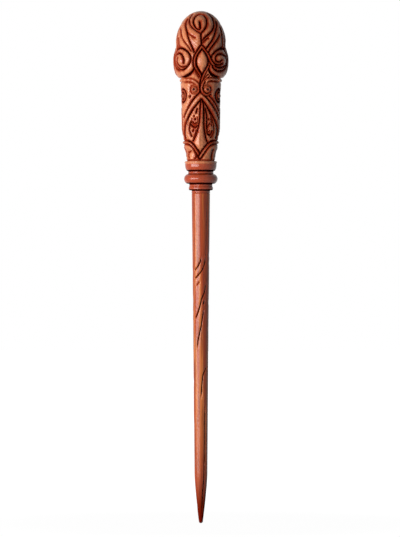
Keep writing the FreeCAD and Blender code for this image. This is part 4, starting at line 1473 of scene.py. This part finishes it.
# Heights where the woods' colours change, in metres

CUP_LIP_HIGHLIGHT = (0.0167, 0.0170)     # into the painted highlight on the cup's lip
REDDER = (-0.125, -0.190)      # down the shaft, into a redder colour
DARK_TIP = (-0.180, -0.212)       # into the shaft's darker tip


def turned_wood(context):
    """Varnished wood from the lathe, with the grain along the wand, stain and painted shade left in the
    joints, and a painted highlight on the cup's lip.
    """
    tone = colours(context)
    material, tree, shader = new_material("polished_turning", VARNISHED, gloss=0.0)
    grain = place_group(tree, grain_group(), Fineness=1.3, Stretch=0.12)
    patina = place_group(tree, patina_group(), Unevenness=0.15)
    figure = math_node(tree, "MULTIPLY", grain["Figure"], 0.5)
    lined = draw_grain(tree, mix_colour(tree, figure, tone.turned, tone.carved), tone, grain, share=0.5)
    # painted highlight: the cup's lip is paled towards the crest colour
    lip = map_range(tree, height_on_piece(tree), *CUP_LIP_HIGHLIGHT, 0.0, 0.75)
    lip_highlit = mix_colour(tree, lip, lined, tone.crest)
    add_stain_and_shade(tree, shader, lip_highlit, tone, patina)
    add_dullness(tree, shader, patina, VARNISHED)
    add_varnish(tree, shader, patina["Stain and shade"], weight=0.7, roughness=0.18)
    add_bump(tree, shader, grain["Height"], strength=0.2, distance=0.00006)
    return material


def shaft_wood(context):
    """The shaft's wood: its colour is redder further down, and its tip is darker and has no clear coat."""
    tone = colours(context)
    material, tree, shader = new_material("varnished_shaft", VARNISHED, gloss=0.0)
    grain = place_group(tree, grain_group(), Fineness=0.75, Stretch=0.03)
    patina = place_group(tree, patina_group(), Unevenness=0.2)
    height = height_on_piece(tree)
    figure = map_range(tree, grain["Figure"], 0.15, 0.75)
    streaks = mix_colour(tree, figure, tone.ember, tone.shaft)
    redder = map_range(tree, height, *REDDER, 0.0, 0.85)
    darker_tip = map_range(tree, height, *DARK_TIP)
    lower = mix_colour(tree, darker_tip, mix_colour(tree, redder, streaks, tone.ember), tone.tip)
    add_stain_and_shade(tree, shader, draw_grain(tree, lower, tone, grain, share=0.8), tone, patina)
    bare = math_node(tree, "MAXIMUM", patina["Stain and shade"], darker_tip)
    add_varnish(tree, shader, bare, weight=0.6, roughness=0.28)
    add_bump(tree, shader, grain["Height"], strength=0.2, distance=0.00006)
    return material


def peg_wood(context):
    """Dark polished hardwood."""
    tone = colours(context)
    material, tree, shader = new_material("polished_pegs", roughness=0.27, gloss=0.35)
    grain = place_group(tree, grain_group(), Fineness=1.6, Stretch=0.5)
    patina = place_group(tree, patina_group(), Unevenness=0.1)
    add_stain_and_shade(tree, shader, draw_grain(tree, tone.peg, tone, grain, share=1.0), tone, patina)
    add_dullness(tree, shader, patina, roughness=0.25)
    return material


def dowel_wood(context):
    """Bare beech."""
    tone = colours(context)
    material, tree, shader = new_material("bare_beech", roughness=0.6, gloss=0.3)
    lines = place_group(tree, grain_group(), Fineness=1.2, Stretch=0.06)["Lines"]
    weak_lines = math_node(tree, "MULTIPLY", lines, 0.4)
    feed(tree, shader, {"Base Color": mix_colour(tree, weak_lines, tone.dowel, tone.carved)})
    return material


def pin_steel(context):
    """Ground steel rod."""
    material, tree, shader = new_material("ground_steel", roughness=0.3, gloss=0.5)
    scratches = noise(tree, place_on_piece(tree), Scale=3000)
    rough = map_range(tree, scratches, 0.3, 0.7, 0.22, 0.4)
    feed(tree, shader, {"Metallic": 1, "Roughness": rough, "Base Color": colours(context).steel})
    return material


class WAND_OT_hidden(bpy.types.Operator):
    """Finishes the dowel and the steel pin, which are hidden inside"""

    bl_idname = "wand.hidden"
    bl_label = "Hidden pieces"

    def execute(self, context):
        finishes = {"head_dowel": dowel_wood(context), "core_pin": pin_steel(context)}
        for node, material in finishes.items():
            mesh = frame["nodes"][node].data
            mesh.materials.clear()
            mesh.materials.append(material)
        return {"FINISHED"}


# Stage

SENSOR = 36                    # the camera sensor's width, in millimetres
FLOOR_HALF = 6                 # half the floor's width, in metres
FLOOR_GAP = 0.0002             # how far the floor lies below the tip
GLOW_FROM, GLOW_TO = 0.23, 0.45    # over which distance the floor's own paint fades away


def add_lamp(name, power, aim, place_at, wide, tall, glints=True):
    """An area lamp that points at a place, with or without glints in the varnish."""
    lamp = bpy.data.lights.new(name, "AREA")
    lamp.energy = power
    lamp.shape = "RECTANGLE"
    lamp.size = wide
    lamp.size_y = tall
    holder = bpy.data.objects.new(name, lamp)
    holder.visible_glossy = glints
    holder.location = place_at
    holder.rotation_euler = (Vector(aim) - Vector(place_at)).to_track_quat("-Z", "Y").to_euler()
    bpy.context.scene.collection.objects.link(holder)


def add_camera(scene, stage):
    """A camera in front of the wand, as far off as its lens asks for."""
    data = bpy.data.cameras.new("camera")
    data.lens = stage.lens
    data.sensor_width = SENSOR
    data.clip_end = 20
    camera = bpy.data.objects.new("camera", data)
    camera.location = (stage.view_x, -stage.frame_height * stage.lens / SENSOR, stage.view_z)
    camera.rotation_euler = (math.radians(90), 0, 0)
    scene.collection.objects.link(camera)
    scene.camera = camera


def seen_directly(tree):
    """1 for what the camera sees, also in a mirror or through glass, and 0 for the light on the pieces."""
    path = add(tree, "ShaderNodeLightPath")
    seen = math_node(tree, "MAXIMUM", path.outputs["Is Camera Ray"], path.outputs["Is Transmission Ray"])
    return math_node(tree, "MAXIMUM", seen, path.outputs["Is Glossy Ray"])


def make_world(scene, strength):
    """White surroundings, which light the pieces with that strength only."""
    world = bpy.data.worlds.new("studio")
    scene.world = world
    world.use_nodes = True
    tree = world.node_tree
    brightness = map_range(tree, seen_directly(tree), 0.0, 1.0, strength, 1.0)
    feed(tree, tree.nodes["Background"], {"Color": (1, 1, 1, 1), "Strength": brightness})


def floor_finish():
    """Glows white to the camera, with some plain paint near the wand for its shadow."""
    material, tree, shader = new_material("floor_paint", roughness=0.9, gloss=0.0)
    feed(tree, shader, {"Base Color": (0.4, 0.4, 0.4, 1)})
    glow = feed(tree, add(tree, "ShaderNodeEmission"), {"Strength": 1.2})
    distance = add(tree, "ShaderNodeVectorMath", operation="LENGTH")
    feed(tree, distance, {0: place_on_piece(tree)})
    glowing = map_range(tree, distance.outputs["Value"], GLOW_FROM, GLOW_TO, 0.8, 1.0)
    share = math_node(tree, "MULTIPLY", seen_directly(tree), glowing)
    mixed = feed(tree, add(tree, "ShaderNodeMixShader"), {0: share, 1: shader.outputs[0], 2: glow.outputs[0]})
    feed(tree, tree.nodes["Material Output"], {"Surface": mixed.outputs[0]})
    return material


class WAND_OT_stage(bpy.types.Operator):
    """Sets out the floor, the lamps and the camera"""

    bl_idname = "wand.stage"
    bl_label = "Stage"

    def execute(self, context):
        scene = context.scene
        stage = scene.wand_stage
        scene.view_settings.view_transform = "Standard"
        make_world(scene, stage.world)
        bm = bmesh.new()
        bmesh.ops.create_grid(bm, x_segments=1, y_segments=1, size=FLOOR_HALF)
        bmesh.ops.translate(bm, verts=bm.verts, vec=(0, 0, TIP_Z * MM - FLOOR_GAP))
        floor = finish_object("floor", bm)
        floor.data.materials.append(floor_finish())
        middle = (0, 0, stage.view_z)
        add_lamp("key_lamp", stage.key, middle, (-0.88, -0.82, 0.0), wide=1.3, tall=0.45)
        add_lamp("fill_lamp", stage.fill, middle, (0.7, -1.2, 0.0), wide=0.9, tall=0.9)
        add_lamp("back_lamp", stage.back, middle, (0.05, 1.25, 0.10), wide=0.7, tall=0.6, glints=False)
        add_camera(scene, stage)
        return {"FINISHED"}


class WAND_PT_panel(bpy.types.Panel):
    """Lists the wand's pieces and their sizes"""

    bl_label = "Carved Wand"
    bl_idname = "WAND_PT_panel"
    bl_space_type = "VIEW_3D"
    bl_region_type = "UI"
    bl_category = "Wand"

    def draw(self, context):
        for operator in OPERATORS:
            self.layout.operator(operator.bl_idname)
        for group in (context.scene.wand_sizes, context.scene.wand_carving, context.scene.wand_colours,
                      context.scene.wand_stage):
            box = self.layout.box()
            for name in group.bl_rna.properties.keys():
                if name not in {"rna_type", "name"}:
                    box.prop(group, name)


OPERATORS = (WAND_OT_head, WAND_OT_grip, WAND_OT_collar, WAND_OT_shaft, WAND_OT_pegs, WAND_OT_hidden,
             WAND_OT_stage)
GROUPS = {
    "wand_sizes": WandSizes,
    "wand_carving": CarvingStyle,
    "wand_colours": WoodColours,
    "wand_stage": StageSettings,
}


def register():
    for name, group in GROUPS.items():
        bpy.utils.register_class(group)
        setattr(bpy.types.Scene, name, PointerProperty(type=group))
    for kind in (*OPERATORS, WAND_PT_panel):
        bpy.utils.register_class(kind)


def unregister():
    for kind in (WAND_PT_panel, *reversed(OPERATORS)):
        bpy.utils.unregister_class(kind)
    for name, group in GROUPS.items():
        delattr(bpy.types.Scene, name)
        bpy.utils.unregister_class(group)


def main():
    register()
    bpy.ops.wand.head()
    bpy.ops.wand.grip()
    bpy.ops.wand.collar()
    bpy.ops.wand.shaft()
    bpy.ops.wand.pegs()
    bpy.ops.wand.hidden()
    bpy.ops.wand.stage()


if __name__ == "__main__":
    main()
